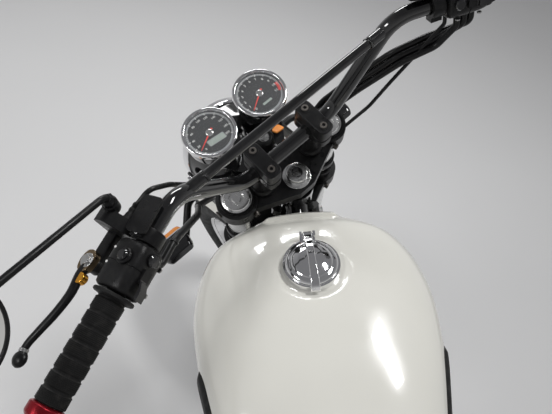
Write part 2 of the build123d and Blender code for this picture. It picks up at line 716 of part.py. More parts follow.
def frame():
    """The double cradle frame: head, backbone, cradles, rails, stays and brackets."""
    def at_stem(ahead, up):
        return Vector(stem_x, 0, stem_top_height) + stem_ahead * ahead + stem_up * up

    head_low = at_stem(0, low_yoke_high + 6)
    head_high = at_stem(0, top_yoke_low - 6)
    mid = at_stem(-10, -90)
    foot = at_stem(-16, -104)
    head = straight(head_low, head_high, head_radius)
    bore = straight(at_stem(0, low_yoke_high), at_stem(0, top_yoke_low), stem_radius + 0.5)
    backbone = bent([(mid.X, 0, mid.Z), (150, 0, backbone_mid), (-110, 0, backbone_low)], backbone_radius, 200)
    tubes = [backbone]
    for s in (1, -1):
        cradle = [(foot.X, s * 26, foot.Z), (292, s * 92, 430), (238, s * cradle_y, cradle_z),
                  (-150, s * cradle_y, cradle_z), (-182, s * cradle_y, 290), (-182, s * cradle_y, 680),
                  (-104, s * 24, backbone_low - 4)]
        tubes.append(bent(cradle, tube_radius, [90, 60, 40, 60, 60], 12))
        rail = [(-92, s * 16, rail_front_z + 14), (-180, s * rail_y, rail_front_z), (-650, s * rail_y, rail_back_z)]
        tubes.append(bent(rail, rail_radius, 50, 10))
        tubes.append(straight((-184, s * cradle_y, 440), (-480, s * rail_y, rail_back_z - 5), rail_radius))
        plate = upright_slab([(-170, 330), (pivot_x - 22, pivot_z - 24), (pivot_x - 22, pivot_z + 24), (-170, 440)],
                             min(s * 98, s * 105), max(s * 98, s * 105))
        tubes.append(plate)
        tubes.append(straight((-540, s * rail_y, rail_back_z - 26), (-540, s * 162, rail_back_z - 26), 7))
        tubes.append(block((-552, min(s * 96, s * 104), rail_back_z - 36), (-528, max(s * 96, s * 104), rail_back_z)))
    for x, z, half in ((-182, 290, cradle_y), (-640, rail_back_z - 1, rail_y), (-150, cradle_z, cradle_y),
                       (236, cradle_z + 8, cradle_y), (-300, rail_front_z + 2, rail_y)):
        tubes.append(straight((x, -half, z), (x, half, z), rail_radius - 2))
    tubes.append(straight((pivot_x, -103, pivot_z), (pivot_x, 103, pivot_z), 8))
    body = head
    for tube in tubes:
        body = body + tube
    h, n = stand_hinge, stand_axis
    inward = Vector(h.X, cradle_y, cradle_z) - h
    inward = inward - n * inward.dot(n)
    bracket = Plane(origin=h, x_dir=inward, z_dir=n).location
    outer = stand_half + 7
    for low, high in ((stand_half + seat_gap, outer), (-outer, -stand_half - seat_gap)):
        body = body + straight(h + n * low, h + n * high, 13) + bracket * block((0, -13, low), (inward.length, 13, high))
    body = body + bracket * block((knuckle_radius + 2, -13, -outer), (inward.length, 13, outer))
    body = body + straight(h - n * (stand_half + 3), h + n * (stand_half + 3), stand_pin)
    return body - bore


def swingarm():
    """Two legs and a cross tube, turning on the frame's pivot, closed at the rear axle."""
    reach = hypot(pivot_x - rear_axle_x, pivot_z - rear_tyre_radius)
    dip = degrees(atan2(pivot_z - rear_tyre_radius, pivot_x - rear_axle_x))
    legs = []
    for s in (1, -1):
        points = [(0, 62), (-24, 62), (-90, 104), (-reach - 46, 104), (-reach - 46, 130), (-84, 130), (-20, 90), (0, 90)]
        points = [(x, s * y) for x, y in points]
        legs.append(level_slab(points if s > 0 else points[::-1], -18, 18))
    cross = straight((0, -91, 0), (0, 91, 0), 20)
    body = joined(cross, *legs)
    body = body - straight((0, -140, 0), (0, 140, 0), 8 + running_clearance)
    body = body - straight((-reach, -140, 0), (-reach, 140, 0), axle_radius + running_clearance)
    place = Pos(pivot_x, 0, pivot_z) * Rot(0, -dip, 0)
    for s in (1, -1):
        body = body - straight((spool_x - reach, s * (130 - spool_depth), 0), (spool_x - reach, s * 131, 0), spool_radius)
        lug = block((-reach + 60, min(s * 108, s * 118), 10), (-reach + 92, max(s * 108, s * 118), 46))
        stud = straight((-reach + 76, s * 110, 36), (-reach + 76, s * 162, 36), 7)
        body = joined(body, lug, stud)
    return place * body


def shock_ends():
    reach = hypot(pivot_x - rear_axle_x, pivot_z - rear_tyre_radius)
    dip = degrees(atan2(pivot_z - rear_tyre_radius, pivot_x - rear_axle_x))
    low = (Pos(pivot_x, 0, pivot_z) * Rot(0, -dip, 0) * Pos(-reach + 76, 145, 36)).position
    return low, Vector(-540, 145, rail_back_z - 26)


def shock(side):
    """A damper with a coil spring and an eye at each end."""
    low, high = shock_ends()
    low = Vector(low.X, side * low.Y, low.Z)
    high = Vector(high.X, side * high.Y, high.Z)
    run = high - low
    length = run.length
    coils = 9
    start, stop = 62.0, length - 52.0
    pitch = (stop - start) / coils
    profile = [(0, 6), (11, 6), (11, start - 14), (25, start - 10), (25, start)]
    for k in range(coils):
        profile += [(19, start + k * pitch + 1), (24, start + (k + 0.3) * pitch), (24, start + (k + 0.7) * pitch)]
    profile += [(19, stop), (25, stop), (25, stop + 8), (14, stop + 12), (12, length - 6), (0, length - 6)]
    body = turned(profile, origin=low, axis=run)
    for end in (low, high):
        body = body + straight((end.X, end.Y - 10, end.Z), (end.X, end.Y + 10, end.Z), 14)
        body = body - straight((end.X, end.Y - 30, end.Z), (end.X, end.Y + 30, end.Z), 7 + running_clearance)
    return body


def rear_axle():
    end = 134.0
    pin = straight((rear_axle_x, -end, rear_tyre_radius), (rear_axle_x, end, rear_tyre_radius), axle_radius)
    collars = [straight((rear_axle_x, s * (rear_hub_half + 0.5), rear_tyre_radius),
                        (rear_axle_x, s * (104 - seat_gap), rear_tyre_radius), 15) for s in (1, -1)]
    heads = [faceted((rear_axle_x, s * (130 + seat_gap), rear_tyre_radius), (rear_axle_x, s * (end + 9), rear_tyre_radius), 16, 6)
             for s in (1, -1)]
    return joined(pin, *collars, *heads)


def rear_caliper():
    body = Rot(0, 118, 0) * caliper(rear_disc_radius, 0, 0)
    return Pos(rear_axle_x, rear_disc_y, rear_tyre_radius) * body


# Engine
def crankcase():
    """The closed cases with round covers, and the drive sprocket behind its plate on the left."""
    outline = [(case_back + 30, case_low), (case_front - 24, case_low), (case_front, case_low + 40),
               (case_front, 380), (case_front - 40, case_high), (case_back + 20, case_high), (case_back, 400),
               (case_back, case_low + 50)]
    inner = chain_y - chain_width / 2 - 5
    body = upright_slab(outline, -inner, inner)
    wide = [(-54, case_low + 20), (case_front - 20, case_low + 20), (case_front - 6, 300), (case_front - 20, 410),
            (0, 428), (-60, 424)]
    body = body + upright_slab(wide, -case_half, case_half)
    covers = [(82, 342, 72, 1, 34), (54, 342, 74, -1, 38), (-10, 356, 44, -1, 24)]
    for x, z, r, s, depth in covers:
        cover = turned([(0, 0), (r, 0), (r, depth - 12), (r - 10, depth), (r - 30, depth), (r - 34, depth - 4),
                        (0, depth - 4)], origin=(x, s * (case_half - 1), z), axis=(0, s, 0))
        body = body + cover
    shaft = straight((front_sprocket_x, inner - 1, front_sprocket_z), (front_sprocket_x, chain_y + 3, front_sprocket_z), 12)
    drive = Pos(front_sprocket_x, chain_y, front_sprocket_z) * sprocket(front_teeth, 6, 8)
    plate = upright_slab([(-50, 300), (-50, 440), (-100, 446), (-146, 420), (-154, 380), (-120, 336)], 94, 104)
    return joined(body, shaft, drive, plate)


def cylinders():
    """The finned barrels and head, with the cam cover and the ports."""
    low = case_high + seat_gap
    high = low + fin_count * fin_pitch
    body = block((barrel_x - 78, -112, low), (barrel_x + 82, 112, high + 78))
    for k in range(fin_count):
        z = low + (k + 0.55) * fin_pitch
        reach = 100 if k < fin_count - 3 else 108
        plate = level_slab(chamfered(reach, 136, 18), z, z + fin_thickness)
        body = body + Pos(barrel_x, 0, 0) * plate
    for k in range(3):
        z = high + 6 + k * fin_pitch
        plate = level_slab(chamfered(104, 140, 22), z, z + fin_thickness)
        body = body + Pos(barrel_x, 0, 0) * plate
    cover = upright_slab([(-60, 0), (64, 0), (72, 12), (60, 34), (-52, 34), (-66, 12)], -104, 104)
    body = body + Pos(barrel_x, 0, high + 76) * cover
    for s in (1, -1):
        first, second = (Vector(*p) for p in header_points(s)[:2])
        run = (second - first).normalized()
        port = straight(first - run * 44, first - run * seat_gap, pipe_radius + 7)
        inlet = faceted((barrel_x - 70, s * 52, 622), (barrel_x - 106, s * 52, 622), 30, 12)
        body = joined(body, port, inlet)
    return body


def header_points(side):
    """The route of an exhaust header, from its port to the muffler."""
    return [(barrel_x + 116, side * 84, 584), (268, side * 130, 558), (326, side * 152, 330), (232, side * 152, 240),
            (-150, side * 152, 240), (-330, side * muffler_y, 252)]


def throttle_bodies():
    """Two inlet stubs and the plain airbox behind them."""
    body = upright_slab([(-200, 560), (-200, 700), (-290, 716), (-400, 716), (-400, 600), (-330, 480), (-240, 480)],
                        -84, 84)
    for s in (1, -1):
        body = body + faceted((barrel_x - 106 - seat_gap, s * 52, 622), (-204, s * 52, 622), 27, 12)
    return body


def side_covers():
    """The two side panels under the seat."""
    panels = []
    for s in (1, -1):
        outline = [(-212, 500), (-206, 700), (-230, 716), (-400, 716), (-420, 700), (-330, 520), (-300, 490)]
        panel = upright_slab(outline, min(s * 119, s * 124), max(s * 119, s * 124))
        boss = straight((-330, s * (rail_y + 4 + rail_radius), 586), (-330, s * 120, 586), 8)
        panels.append(joined(panel, boss))
    return panels


def exhaust(side):
    """One header pipe and its muffler."""
    pipe = tube(header_points(side), pipe_radius, 12, [75, 90, 90, 60])
    start = Vector(-326, side * muffler_y, 252)
    run = Vector(-muffler_length, 0, 38)
    n = muffler_length / 500
    profile = [(0, -4), (pipe_radius + 3, -4), (pipe_radius + 4, 14), (muffler_radius, 90 * n), (muffler_radius, 380 * n),
               (muffler_radius - 14, 492 * n), (muffler_radius - 18, 500 * n), (muffler_radius - 20, 500 * n),
               (muffler_radius - 20, 470 * n), (0, 470 * n)]
    can = turned(profile, origin=start, axis=run)
    hollow = turned([(0, 96 * n), (muffler_radius - 4, 96 * n), (muffler_radius - 4, 376 * n), (0, 376 * n)],
                    origin=start, axis=run)
    return joined(pipe, can) - hollow


def foot_controls(side):
    """A peg with its bracket, and the pedal or lever ahead of it."""
    s = side
    bracket = upright_slab([(-166, 300), (-166, 420), (-130, 360), (-104, 330), (-110, 306)], min(s * 106, s * 113), max(s * 106, s * 113))
    peg = faceted((-118, s * 112, 322), (-118, s * 232, 322), 14, 10)
    pivot = straight((-150, s * 112, 372), (-150, s * 134, 372), 9)
    arm = upright_slab([(-150, 366), (-150, 380), (-20, 356), (26, 352), (26, 342), (-24, 344)], min(s * 182, s * 188), max(s * 182, s * 188))
    cross = straight((-146, s * 130, 372), (-140, s * 186, 370), 6)
    tip = straight((20, s * 184, 347), (20, s * 226, 347), 8)
    return joined(bracket, peg, pivot, cross, arm, tip)


def chain():
    """The drive chain: two plate loops that straddle the sprockets, joined by rollers on the straight runs."""
    r1 = chain_pitch / (2 * sin(pi / front_teeth))
    r2 = chain_pitch / (2 * sin(pi / rear_teeth))
    a = Vector(front_sprocket_x, 0, front_sprocket_z)
    b = Vector(rear_axle_x, 0, rear_tyre_radius)
    between = b - a
    swing = acos((r1 - r2) / between.length)
    heading = atan2(between.Z, between.X)

    def at(centre, radius, turn):
        return centre.X + radius * cos(turn), centre.Z + radius * sin(turn)

    loops = []
    for depth in (6.5, -6.5):
        points = []
        for centre, radius, first, last, count in ((a, r1, heading + swing, heading - swing + 2 * pi, 8),
                                                   (b, r2, heading - swing, heading + swing, 16)):
            for k in range(count + 1):
                points.append(at(centre, radius + depth, first + (last - first) * k / count))
        loops.append(points)
    plates = []
    for low, high in ((-chain_width / 2, -chain_gap / 2), (chain_gap / 2, chain_width / 2)):
        outer = upright_slab(loops[0], chain_y + low, chain_y + high)
        inner = upright_slab(loops[1], chain_y - chain_width, chain_y + chain_width)
        plates.append(outer - inner)
    rollers = []
    for turn in (heading + swing, heading - swing):
        start = Vector(*at(a, r1, turn)[:1], 0, at(a, r1, turn)[1])
        end = Vector(at(b, r2, turn)[0], 0, at(b, r2, turn)[1])
        run = end - start
        count = int(run.length / chain_pitch)
        for k in range(3, count - 2):
            p = start + run.normalized() * (k * chain_pitch)
            rollers.append(faceted((p.X, chain_y - chain_gap / 2 - 0.5, p.Z), (p.X, chain_y + chain_gap / 2 + 0.5, p.Z), 5, 4))
    return joined(*plates, *rollers)


guard_radius = rear_tyre_radius + 78
guard_thickness = 2.5


def rear_mudguard():
    guard = Pos(rear_axle_x, 0, rear_tyre_radius) * arch(guard_radius, guard_thickness, 76, 18, 72, 150)
    top = rail_back_z - rail_radius + 1 - seat_gap
    brackets = [block((-652, s * 50 - 10, 706), (-628, s * 50 + 10, top)) for s in (1, -1)]
    return joined(guard, *brackets)


def tail_lamp():
    """The rear lamp on its post, with an indicator on each side."""
    turn = radians(134)
    out = Vector(cos(turn), 0, sin(turn))
    centre = Vector(rear_axle_x, 0, rear_tyre_radius)
    foot = centre + out * (guard_radius + guard_thickness + seat_gap)
    head = centre + out * (guard_radius + 52)
    lamp = turned([(0, 6), (34, 4), (40, 0), (40, -30), (30, -46), (0, -46)], origin=(head.X - 40, 0, head.Z), axis=(-1, 0, 0))
    body = joined(straight(foot, head, 16), lamp)
    for s in (1, -1):
        stalk = straight((head.X, s * 10, head.Z), (head.X, s * 88, head.Z), 6)
        head_y = s * 106
        lens = turned([(0, -22), (16, -20), (26, -9), (26, 10), (20, 17), (0, 19)], origin=(head.X, head_y, head.Z),
                      axis=(-1, 0, 0))
        body = joined(body, stalk, lens)
    return body


def side_stand():
    """The stand's leg from its hinge to a flat foot on the ground."""
    leg = straight(stand_hinge - stand_down * 2, stand_tip, stand_radius)
    knuckle = straight(stand_hinge - stand_axis * stand_half, stand_hinge + stand_axis * stand_half, knuckle_radius)
    ground = park.inverse() * Pos(ground_point.X, ground_point.Y, 0)
    pad = ground * extrude(Circle(foot_radius), amount=foot_thickness)
    below = ground * block((-300, -300, -200), (300, 300, 0))
    bore = straight(stand_hinge - stand_axis * 20, stand_hinge + stand_axis * 20, stand_pin + running_clearance)
    return joined(leg, knuckle) - below + pad - bore


fork_parts = {
    "fork_yokes": yokes(),
    "fork_left": fork_leg(1),
    "fork_right": fork_leg(-1),
    "handlebar": handlebar(),
    "handlebar_risers": risers(),
    "left_grip": grip(1),
    "right_grip": grip(-1),
    "left_switch": switch_block(1),
    "right_switch": switch_block(-1),
    "left_perch": perch(1),
    "right_perch": perch(-1),
    "clutch_lever": lever(1),
    "brake_lever": lever(-1),
    "left_mirror": rear_view_mirror(1),
    "right_mirror": rear_view_mirror(-1),
    "speedometer": gauge(1),
    "tachometer": gauge(-1),
    "gauge_bracket": gauge_bracket(),
    "headlamp": headlamp(),
    "front_indicators": front_indicators(),
    "front_mudguard": front_mudguard(),
    "front_axle": front_axle(),
    "front_caliper": front_caliper(),
}
front_wheel_parts = {
    "front_tyre": tyre(front_tyre_radius, front_tyre_crown, front_bead_half),
    "front_wheel": wheel(front_bead_half, front_hub_half, front_flange_y),
    "front_disc": brake_disc(front_disc_radius, front_disc_y),
}
rear_wheel_parts = {
    "rear_tyre": tyre(rear_tyre_radius, rear_tyre_crown, rear_bead_half),
    "rear_wheel": wheel(rear_bead_half, rear_hub_half, rear_flange_y),
    "rear_disc": brake_disc(rear_disc_radius, rear_disc_y),
    "rear_sprocket": Pos(0, chain_y, 0) * sprocket(rear_teeth, 6, hub_radius),
}
chassis_parts = {
    "frame": frame(),
    "crankcase": crankcase(),
    "cylinders": cylinders(),
    "throttle_bodies": throttle_bodies(),
    "exhaust_left": exhaust(1),
    "exhaust_right": exhaust(-1),
    "fuel_tank": fuel_tank(),
    "filler_collar": filler_collar(),
    "cap_lid": cap_lid(),
    "seat": seat(),
    "seat_pan": seat_pan(),
    "side_covers": side_covers(),
    "swingarm": swingarm(),
    "shock_left": shock(1),
    "shock_right": shock(-1),
    "rear_axle": rear_axle(),
    "rear_caliper": rear_caliper(),
    "left_foot_controls": foot_controls(1),
    "right_foot_controls": foot_controls(-1),
    "chain": chain(),
    "rear_mudguard": rear_mudguard(),
    "tail_lamp": tail_lamp(),
    "side_stand": side_stand(),
}

parked = {}
for place, parts in ((park * steered, fork_parts), (park * front_wheel_place, front_wheel_parts),
                     (park * rear_wheel_place, rear_wheel_parts), (park, chassis_parts)):
    for name, shape in parts.items():
        solids = shape if isinstance(shape, (list, tuple)) else [shape]
        moved = [place * solid for solid in solids]
        parked[name] = moved[0] if len(moved) == 1 else Compound(moved)

boxes = [shape.bounding_box() for shape in parked.values()]
low = Vector(*(min(getattr(box.min, side) for box in boxes) for side in "XYZ"))
high = Vector(*(max(getattr(box.max, side) for box in boxes) for side in "XYZ"))
centre = Pos(-(low.X + high.X) / 2, -(low.Y + high.Y) / 2, 0)
os.makedirs("parts", exist_ok=True)
for name, shape in parked.items():
    export_step(centre * shape, f"parts/{name}.step")
print("pitch", round(pitch, 3), "size", high - low, "lowest", low.Z)
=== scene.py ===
from math import acos, atan2, copysign, cos, exp, hypot, pi, radians, sin

import bmesh
import bpy
from mathutils import Matrix, Vector
from mathutils.bvhtree import BVHTree


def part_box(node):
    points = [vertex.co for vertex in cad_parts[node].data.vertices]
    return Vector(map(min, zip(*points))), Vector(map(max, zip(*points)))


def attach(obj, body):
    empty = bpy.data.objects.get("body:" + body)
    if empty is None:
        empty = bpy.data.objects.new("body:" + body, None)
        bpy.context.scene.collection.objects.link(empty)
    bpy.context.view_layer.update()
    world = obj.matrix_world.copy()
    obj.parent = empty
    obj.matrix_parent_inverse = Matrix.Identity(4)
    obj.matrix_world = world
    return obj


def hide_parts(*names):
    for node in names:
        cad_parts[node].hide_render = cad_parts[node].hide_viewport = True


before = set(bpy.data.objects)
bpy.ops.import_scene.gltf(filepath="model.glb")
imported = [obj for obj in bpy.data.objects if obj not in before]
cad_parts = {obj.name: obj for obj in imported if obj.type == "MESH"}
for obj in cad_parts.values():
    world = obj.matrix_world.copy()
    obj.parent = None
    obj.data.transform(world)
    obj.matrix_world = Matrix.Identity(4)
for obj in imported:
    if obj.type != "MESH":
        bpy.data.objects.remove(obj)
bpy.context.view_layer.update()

scene = bpy.context.scene
scene.view_settings.view_transform = "Standard"

# Frames: pieces are written in millimetres, in the upright machine's frame or the fork's frame
MM = 0.001
SCALE = Matrix.Scale(MM, 4)
SIDES = (1, -1)
NAMES = {1: "left", -1: "right"}
RAKE = radians(24.5)
AXLE_X, AXLE_Z = -699, 320
STEM_TOP = (367.6116, 0, 969)
FORK_X, FORK_Y, FORK_LENGTH = 32, 95, 728.8994
RISER_X, RISER_Y = 22, 50
DIAL_X, DIAL_Y = 143, 53
LAMP_X, LAMP_Z = 168, -160
LOCK_X = 75
GRIP_AT, SWITCH_AT, PERCH_AT = 122, 182, 202


def shift(x, y, z):
    return Matrix.Translation((x, y, z))


def turn(axis, angle):
    return Matrix.Rotation(radians(angle), 4, axis)


def matrix_of(x, y, z, origin):
    """A matrix from its three axes and its origin."""
    return Matrix([(x[k], y[k], z[k], origin[k]) for k in range(3)] + [(0, 0, 0, 1)])


def frame_of(origin, x_dir, z_dir):
    """A matrix from an origin, a direction for X and a direction for Z."""
    z = Vector(z_dir).normalized()
    x = Vector(x_dir)
    x = (x - z * x.dot(z)).normalized()
    return matrix_of(x, z.cross(x), z, origin)


def along(start, end, x_dir=(1, 0.01, 0)):
    """A matrix at a start point with Z towards an end point."""
    return frame_of(start, x_dir, Vector(end) - Vector(start))


lean = turn("X", -13.5) @ turn("Y", 0.42400283)
rear_low, rear_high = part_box("rear_tyre")
rear_middle = (rear_low + rear_high) / 2
axle_at = lean @ Vector((AXLE_X / 1000, 0, AXLE_Z / 1000))
UPRIGHT = shift(rear_middle.x - axle_at.x, rear_middle.y - axle_at.y, -0.003225326) @ lean @ SCALE
FORK = UPRIGHT @ frame_of(STEM_TOP, (cos(RAKE), 0, sin(RAKE)), (-sin(RAKE), 0, cos(RAKE))) @ turn("Z", 37)
FRONT = FORK @ shift(FORK_X, 0, -FORK_LENGTH)
REAR = UPRIGHT @ shift(AXLE_X, 0, AXLE_Z)
AHEAD = Vector((cos(RAKE), 0, -sin(RAKE)))


def placed(name, data):
    """An object for some data, in the scene."""
    thing = bpy.data.objects.new(name, data)
    scene.collection.objects.link(thing)
    return thing


# Camera
PHOTO_WIDTH, SENSOR_WIDTH = 552, 36


def aim_camera(place, azimuth, elevation, roll, focal):
    """The photo's camera: its place in metres, its angles, and its focal length in the photo's pixels."""
    a, e, k = radians(azimuth), radians(elevation), radians(roll)
    ahead = Vector((cos(e) * cos(a), cos(e) * sin(a), sin(e)))
    right = Vector((sin(a), -cos(a), 0))
    down = ahead.cross(right)
    across = right * cos(k) + down * sin(k)
    below = down * cos(k) - right * sin(k)
    data = bpy.data.cameras.new("camera")
    data.sensor_fit = "HORIZONTAL"
    data.sensor_width = SENSOR_WIDTH
    data.lens = focal / PHOTO_WIDTH * SENSOR_WIDTH
    data.clip_start = 0.01
    scene.camera = placed("camera", data)
    scene.camera.matrix_world = matrix_of(across, -below, -ahead, place)


park_shift = UPRIGHT.translation
aim_camera((park_shift.x - 0.255843, park_shift.y + 0.427897, 1.467360), -16.368, -42.76, -15.636, 557.36)

# Materials
DUST = (0.32, 0.30, 0.27, 1)


def surface(name, colour, rough, metal=0.0, coat=0.0, vary=0.08, vary_scale=9.0, rough_vary=0.08,
            rough_scale=60.0, bump=0.0, bump_scale=900.0, cells=False, wear=None, wear_from=0.53,
            dust=0.0, sheen=0.0, alpha=1.0, stretch=None, painted_glow=0.0, shine=0.5):
    """A procedural material: colour and roughness that vary, a fine bump, worn edges, settled dust and, where
    asked, a painted glow.
    """
    mat = bpy.data.materials.new(name)
    mat.use_nodes = True
    nodes, links = mat.node_tree.nodes, mat.node_tree.links
    shader = nodes["Principled BSDF"]
    for socket, value in (("Metallic", metal), ("Coat Weight", coat), ("Coat Roughness", 0.03),
                          ("Specular IOR Level", shine), ("Sheen Weight", sheen), ("Alpha", alpha)):
        shader.inputs[socket].default_value = value
    coords = nodes.new("ShaderNodeTexCoord").outputs["Object"]
    grain = coords
    if stretch:
        mapping = nodes.new("ShaderNodeMapping")
        mapping.inputs["Scale"].default_value = stretch
        links.new(coords, mapping.inputs["Vector"])
        grain = mapping.outputs["Vector"]

    def texture(kind, source, scale, output):
        node = nodes.new(kind)
        node.inputs["Scale"].default_value = scale
        links.new(source, node.inputs["Vector"])
        return node, node.outputs[output]

    def noise(source, scale, detail):
        node, out = texture("ShaderNodeTexNoise", source, scale, "Fac")
        node.inputs["Detail"].default_value = detail
        return out

    def ramp(source, low, high, to_low, to_high):
        node = nodes.new("ShaderNodeMapRange")
        for socket, value in (("From Min", low), ("From Max", high), ("To Min", to_low), ("To Max", to_high)):
            node.inputs[socket].default_value = value
        links.new(source, node.inputs["Value"])
        return node.outputs["Result"]

    def layer(under, factor, colour):
        """A colour over another, which is a list or a node's output."""
        node = nodes.new("ShaderNodeMix")
        node.data_type = "RGBA"
        links.new(factor, node.inputs["Factor"])
        if isinstance(under, list):
            node.inputs[6].default_value = under
        else:
            links.new(under, node.inputs[6])
        node.inputs[7].default_value = colour
        return node.outputs[2]

    dark = [max(0.0, c * (1 - vary)) for c in colour] + [1]
    light = [min(1.0, c * (1 + vary)) for c in colour] + [1]
    tint = layer(dark, ramp(noise(grain, vary_scale, 5), 0.35, 0.65, 0, 1), light)
    if dust:
        tint = layer(tint, ramp(noise(coords, 130, 8), 0.52, 0.72, 0, dust), DUST)
    if wear:
        edge = nodes.new("ShaderNodeNewGeometry").outputs["Pointiness"]
        tint = layer(tint, ramp(edge, wear_from, wear_from + 0.06, 0, 0.85), (*wear, 1))
    links.new(tint, shader.inputs["Base Color"])
    smoothest, roughest = max(0.02, rough - rough_vary), min(1, rough + rough_vary)
    links.new(ramp(noise(grain, rough_scale, 6), 0.3, 0.7, smoothest, roughest), shader.inputs["Roughness"])
    if bump:
        height = (texture("ShaderNodeTexVoronoi", coords, bump_scale, "Distance")[1] if cells
                  else noise(grain, bump_scale, 3))
        node = nodes.new("ShaderNodeBump")
        node.inputs["Strength"].default_value = bump
        node.inputs["Distance"].default_value = 0.0006
        links.new(height, node.inputs["Height"])
        links.new(node.outputs["Normal"], shader.inputs["Normal"])
    # painted glow: the surface's own colour given off as faint light, on dial print, needles, unlit lenses and
    # the key's tag
    if painted_glow:
        links.new(tint, shader.inputs["Emission Color"])
        shader.inputs["Emission Strength"].default_value = painted_glow
    return mat


paint = {
    "pearl": surface("pearl_paint", (0.79, 0.78, 0.72), 0.17, coat=1.0, vary=0.025, vary_scale=5,
                     rough_vary=0.05, rough_scale=25, bump=0.02, bump_scale=260),
    "black": surface("black_enamel", (0.006, 0.006, 0.0065), 0.10, coat=1.0, vary=0.3, rough_vary=0.05,
                     dust=0.02, shine=0.3),
    "satin": surface("satin_black_alloy", (0.007, 0.007, 0.0075), 0.34, vary=0.25, rough_vary=0.1, bump=0.12,
                     bump_scale=1500, wear=(0.06, 0.06, 0.06), wear_from=0.60, dust=0.02, shine=0.22),
    "chrome": surface("chrome_plate", (0.86, 0.86, 0.87), 0.07, metal=1.0, vary=0.04, rough_vary=0.045,
                      rough_scale=35),
    "alloy": surface("cast_alloy", (0.62, 0.62, 0.61), 0.36, metal=1.0, vary=0.1, rough_vary=0.12, bump=0.25,
                     bump_scale=700, dust=0.07),
    "polished": surface("polished_alloy", (0.80, 0.80, 0.79), 0.2, metal=1.0, vary=0.05, rough_vary=0.08,
                        bump=0.05, bump_scale=400, stretch=(1, 1, 14)),
    "fins": surface("engine_fins", (0.030, 0.030, 0.031), 0.5, metal=0.3, vary=0.25, bump=0.3,
                    wear=(0.45, 0.45, 0.44), wear_from=0.57, dust=0.06),
    "steel": surface("brushed_steel", (0.48, 0.48, 0.48), 0.32, metal=1.0, vary=0.12, rough_vary=0.1,
                     bump=0.15, bump_scale=700, stretch=(1, 1, 6), dust=0.08),
    "dark_steel": surface("dark_steel", (0.13, 0.12, 0.11), 0.38, metal=1.0, vary=0.3, bump=0.2,
                          bump_scale=800, dust=0.2),
    "rubber": surface("rubber", (0.010, 0.010, 0.010), 0.55, vary=0.25, rough_vary=0.12, bump=0.25,
                      bump_scale=1300, dust=0.05, shine=0.25),
    "tyre": surface("tyre_rubber", (0.020, 0.020, 0.021), 0.66, vary=0.3, vary_scale=14, rough_vary=0.12,
                    bump=0.3, dust=0.05, shine=0.3),
    "plastic": surface("satin_plastic", (0.008, 0.008, 0.0085), 0.33, vary=0.2, rough_vary=0.1, bump=0.18,
                       bump_scale=2200, cells=True, wear=(0.04, 0.04, 0.04), wear_from=0.60, dust=0.02,
                       shine=0.25),
    "gloss": surface("gloss_plastic", (0.010, 0.010, 0.011), 0.08, coat=0.5, vary=0.2, rough_vary=0.04),
    "leather": surface("seat_vinyl", (0.026, 0.025, 0.024), 0.45, vary=0.25, vary_scale=20, rough_vary=0.12,
                       bump=0.5, bump_scale=520, cells=True, sheen=0.15, dust=0.05),
    "thread": surface("seat_thread", (0.07, 0.07, 0.07), 0.7, vary=0.2, bump=0.3, bump_scale=2500),
    "glass": surface("clear_glass", (0.9, 0.92, 0.93), 0.03, vary=0.01, rough_vary=0.02, alpha=0.08),
    "mirror": surface("mirror_glass", (0.88, 0.87, 0.84), 0.03, metal=1.0, vary=0.01, rough_vary=0.015,
                      rough_scale=12),
    # The amber, red, ink and needle finishes carry a painted glow: faint light in their own colour, though
    # nothing in them is lit
    "amber": surface("amber_lens", (0.72, 0.24, 0.03), 0.16, coat=0.6, vary=0.12, vary_scale=60,
                     rough_vary=0.05, bump=0.4, bump_scale=500, cells=True, painted_glow=0.12),
    "red": surface("red_lens", (0.55, 0.015, 0.012), 0.16, coat=0.6, vary=0.12, vary_scale=60, bump=0.4,
                   bump_scale=500, cells=True, painted_glow=0.05),
    "dial": surface("dial_face", (0.012, 0.013, 0.015), 0.45, vary=0.15, bump=0.1, bump_scale=3000, shine=0.3),
    "ink": surface("dial_ink", (0.78, 0.78, 0.76), 0.5, vary=0.05, painted_glow=0.1),
    "grey_ink": surface("dial_grey", (0.25, 0.26, 0.27), 0.5, vary=0.05),
    "needle": surface("needle_red", (0.75, 0.03, 0.02), 0.4, painted_glow=0.15),
    "lcd": surface("display_glass", (0.36, 0.42, 0.38), 0.25, vary=0.05, bump=0.1, bump_scale=1500),
    "gold": surface("anodised_gold", (0.75, 0.36, 0.05), 0.28, metal=1.0, vary=0.1),
    "bronze": surface("worn_bronze", (0.22, 0.16, 0.10), 0.3, metal=1.0, vary=0.25, rough_vary=0.12,
                      wear=(0.5, 0.42, 0.3)),
    "red_alloy": surface("red_anodised", (0.27, 0.012, 0.02), 0.3, metal=0.8, vary=0.15, bump=0.08,
                         wear=(0.45, 0.3, 0.3), wear_from=0.56),
    "chain": surface("chain_steel", (0.20, 0.18, 0.15), 0.4, metal=1.0, vary=0.3, vary_scale=90, bump=0.2,
                     dust=0.2),
    "disc": surface("brake_disc", (0.55, 0.55, 0.55), 0.26, metal=1.0, vary=0.1, rough_vary=0.1, bump=0.12,
                    bump_scale=1100),
    "pipe": surface("exhaust_chrome", (0.80, 0.79, 0.77), 0.09, metal=1.0, vary_scale=6, rough_vary=0.05),
    "cable": surface("cable_sleeve", (0.008, 0.008, 0.0085), 0.32, vary=0.2, rough_vary=0.1, bump=0.15,
                     bump_scale=1800, dust=0.02, shine=0.3),
}


# Mesh builders: each returns (points, faces) in millimetres
def around(count):
    """Angles evenly round a circle."""
    return [2 * pi * k / count for k in range(count)]


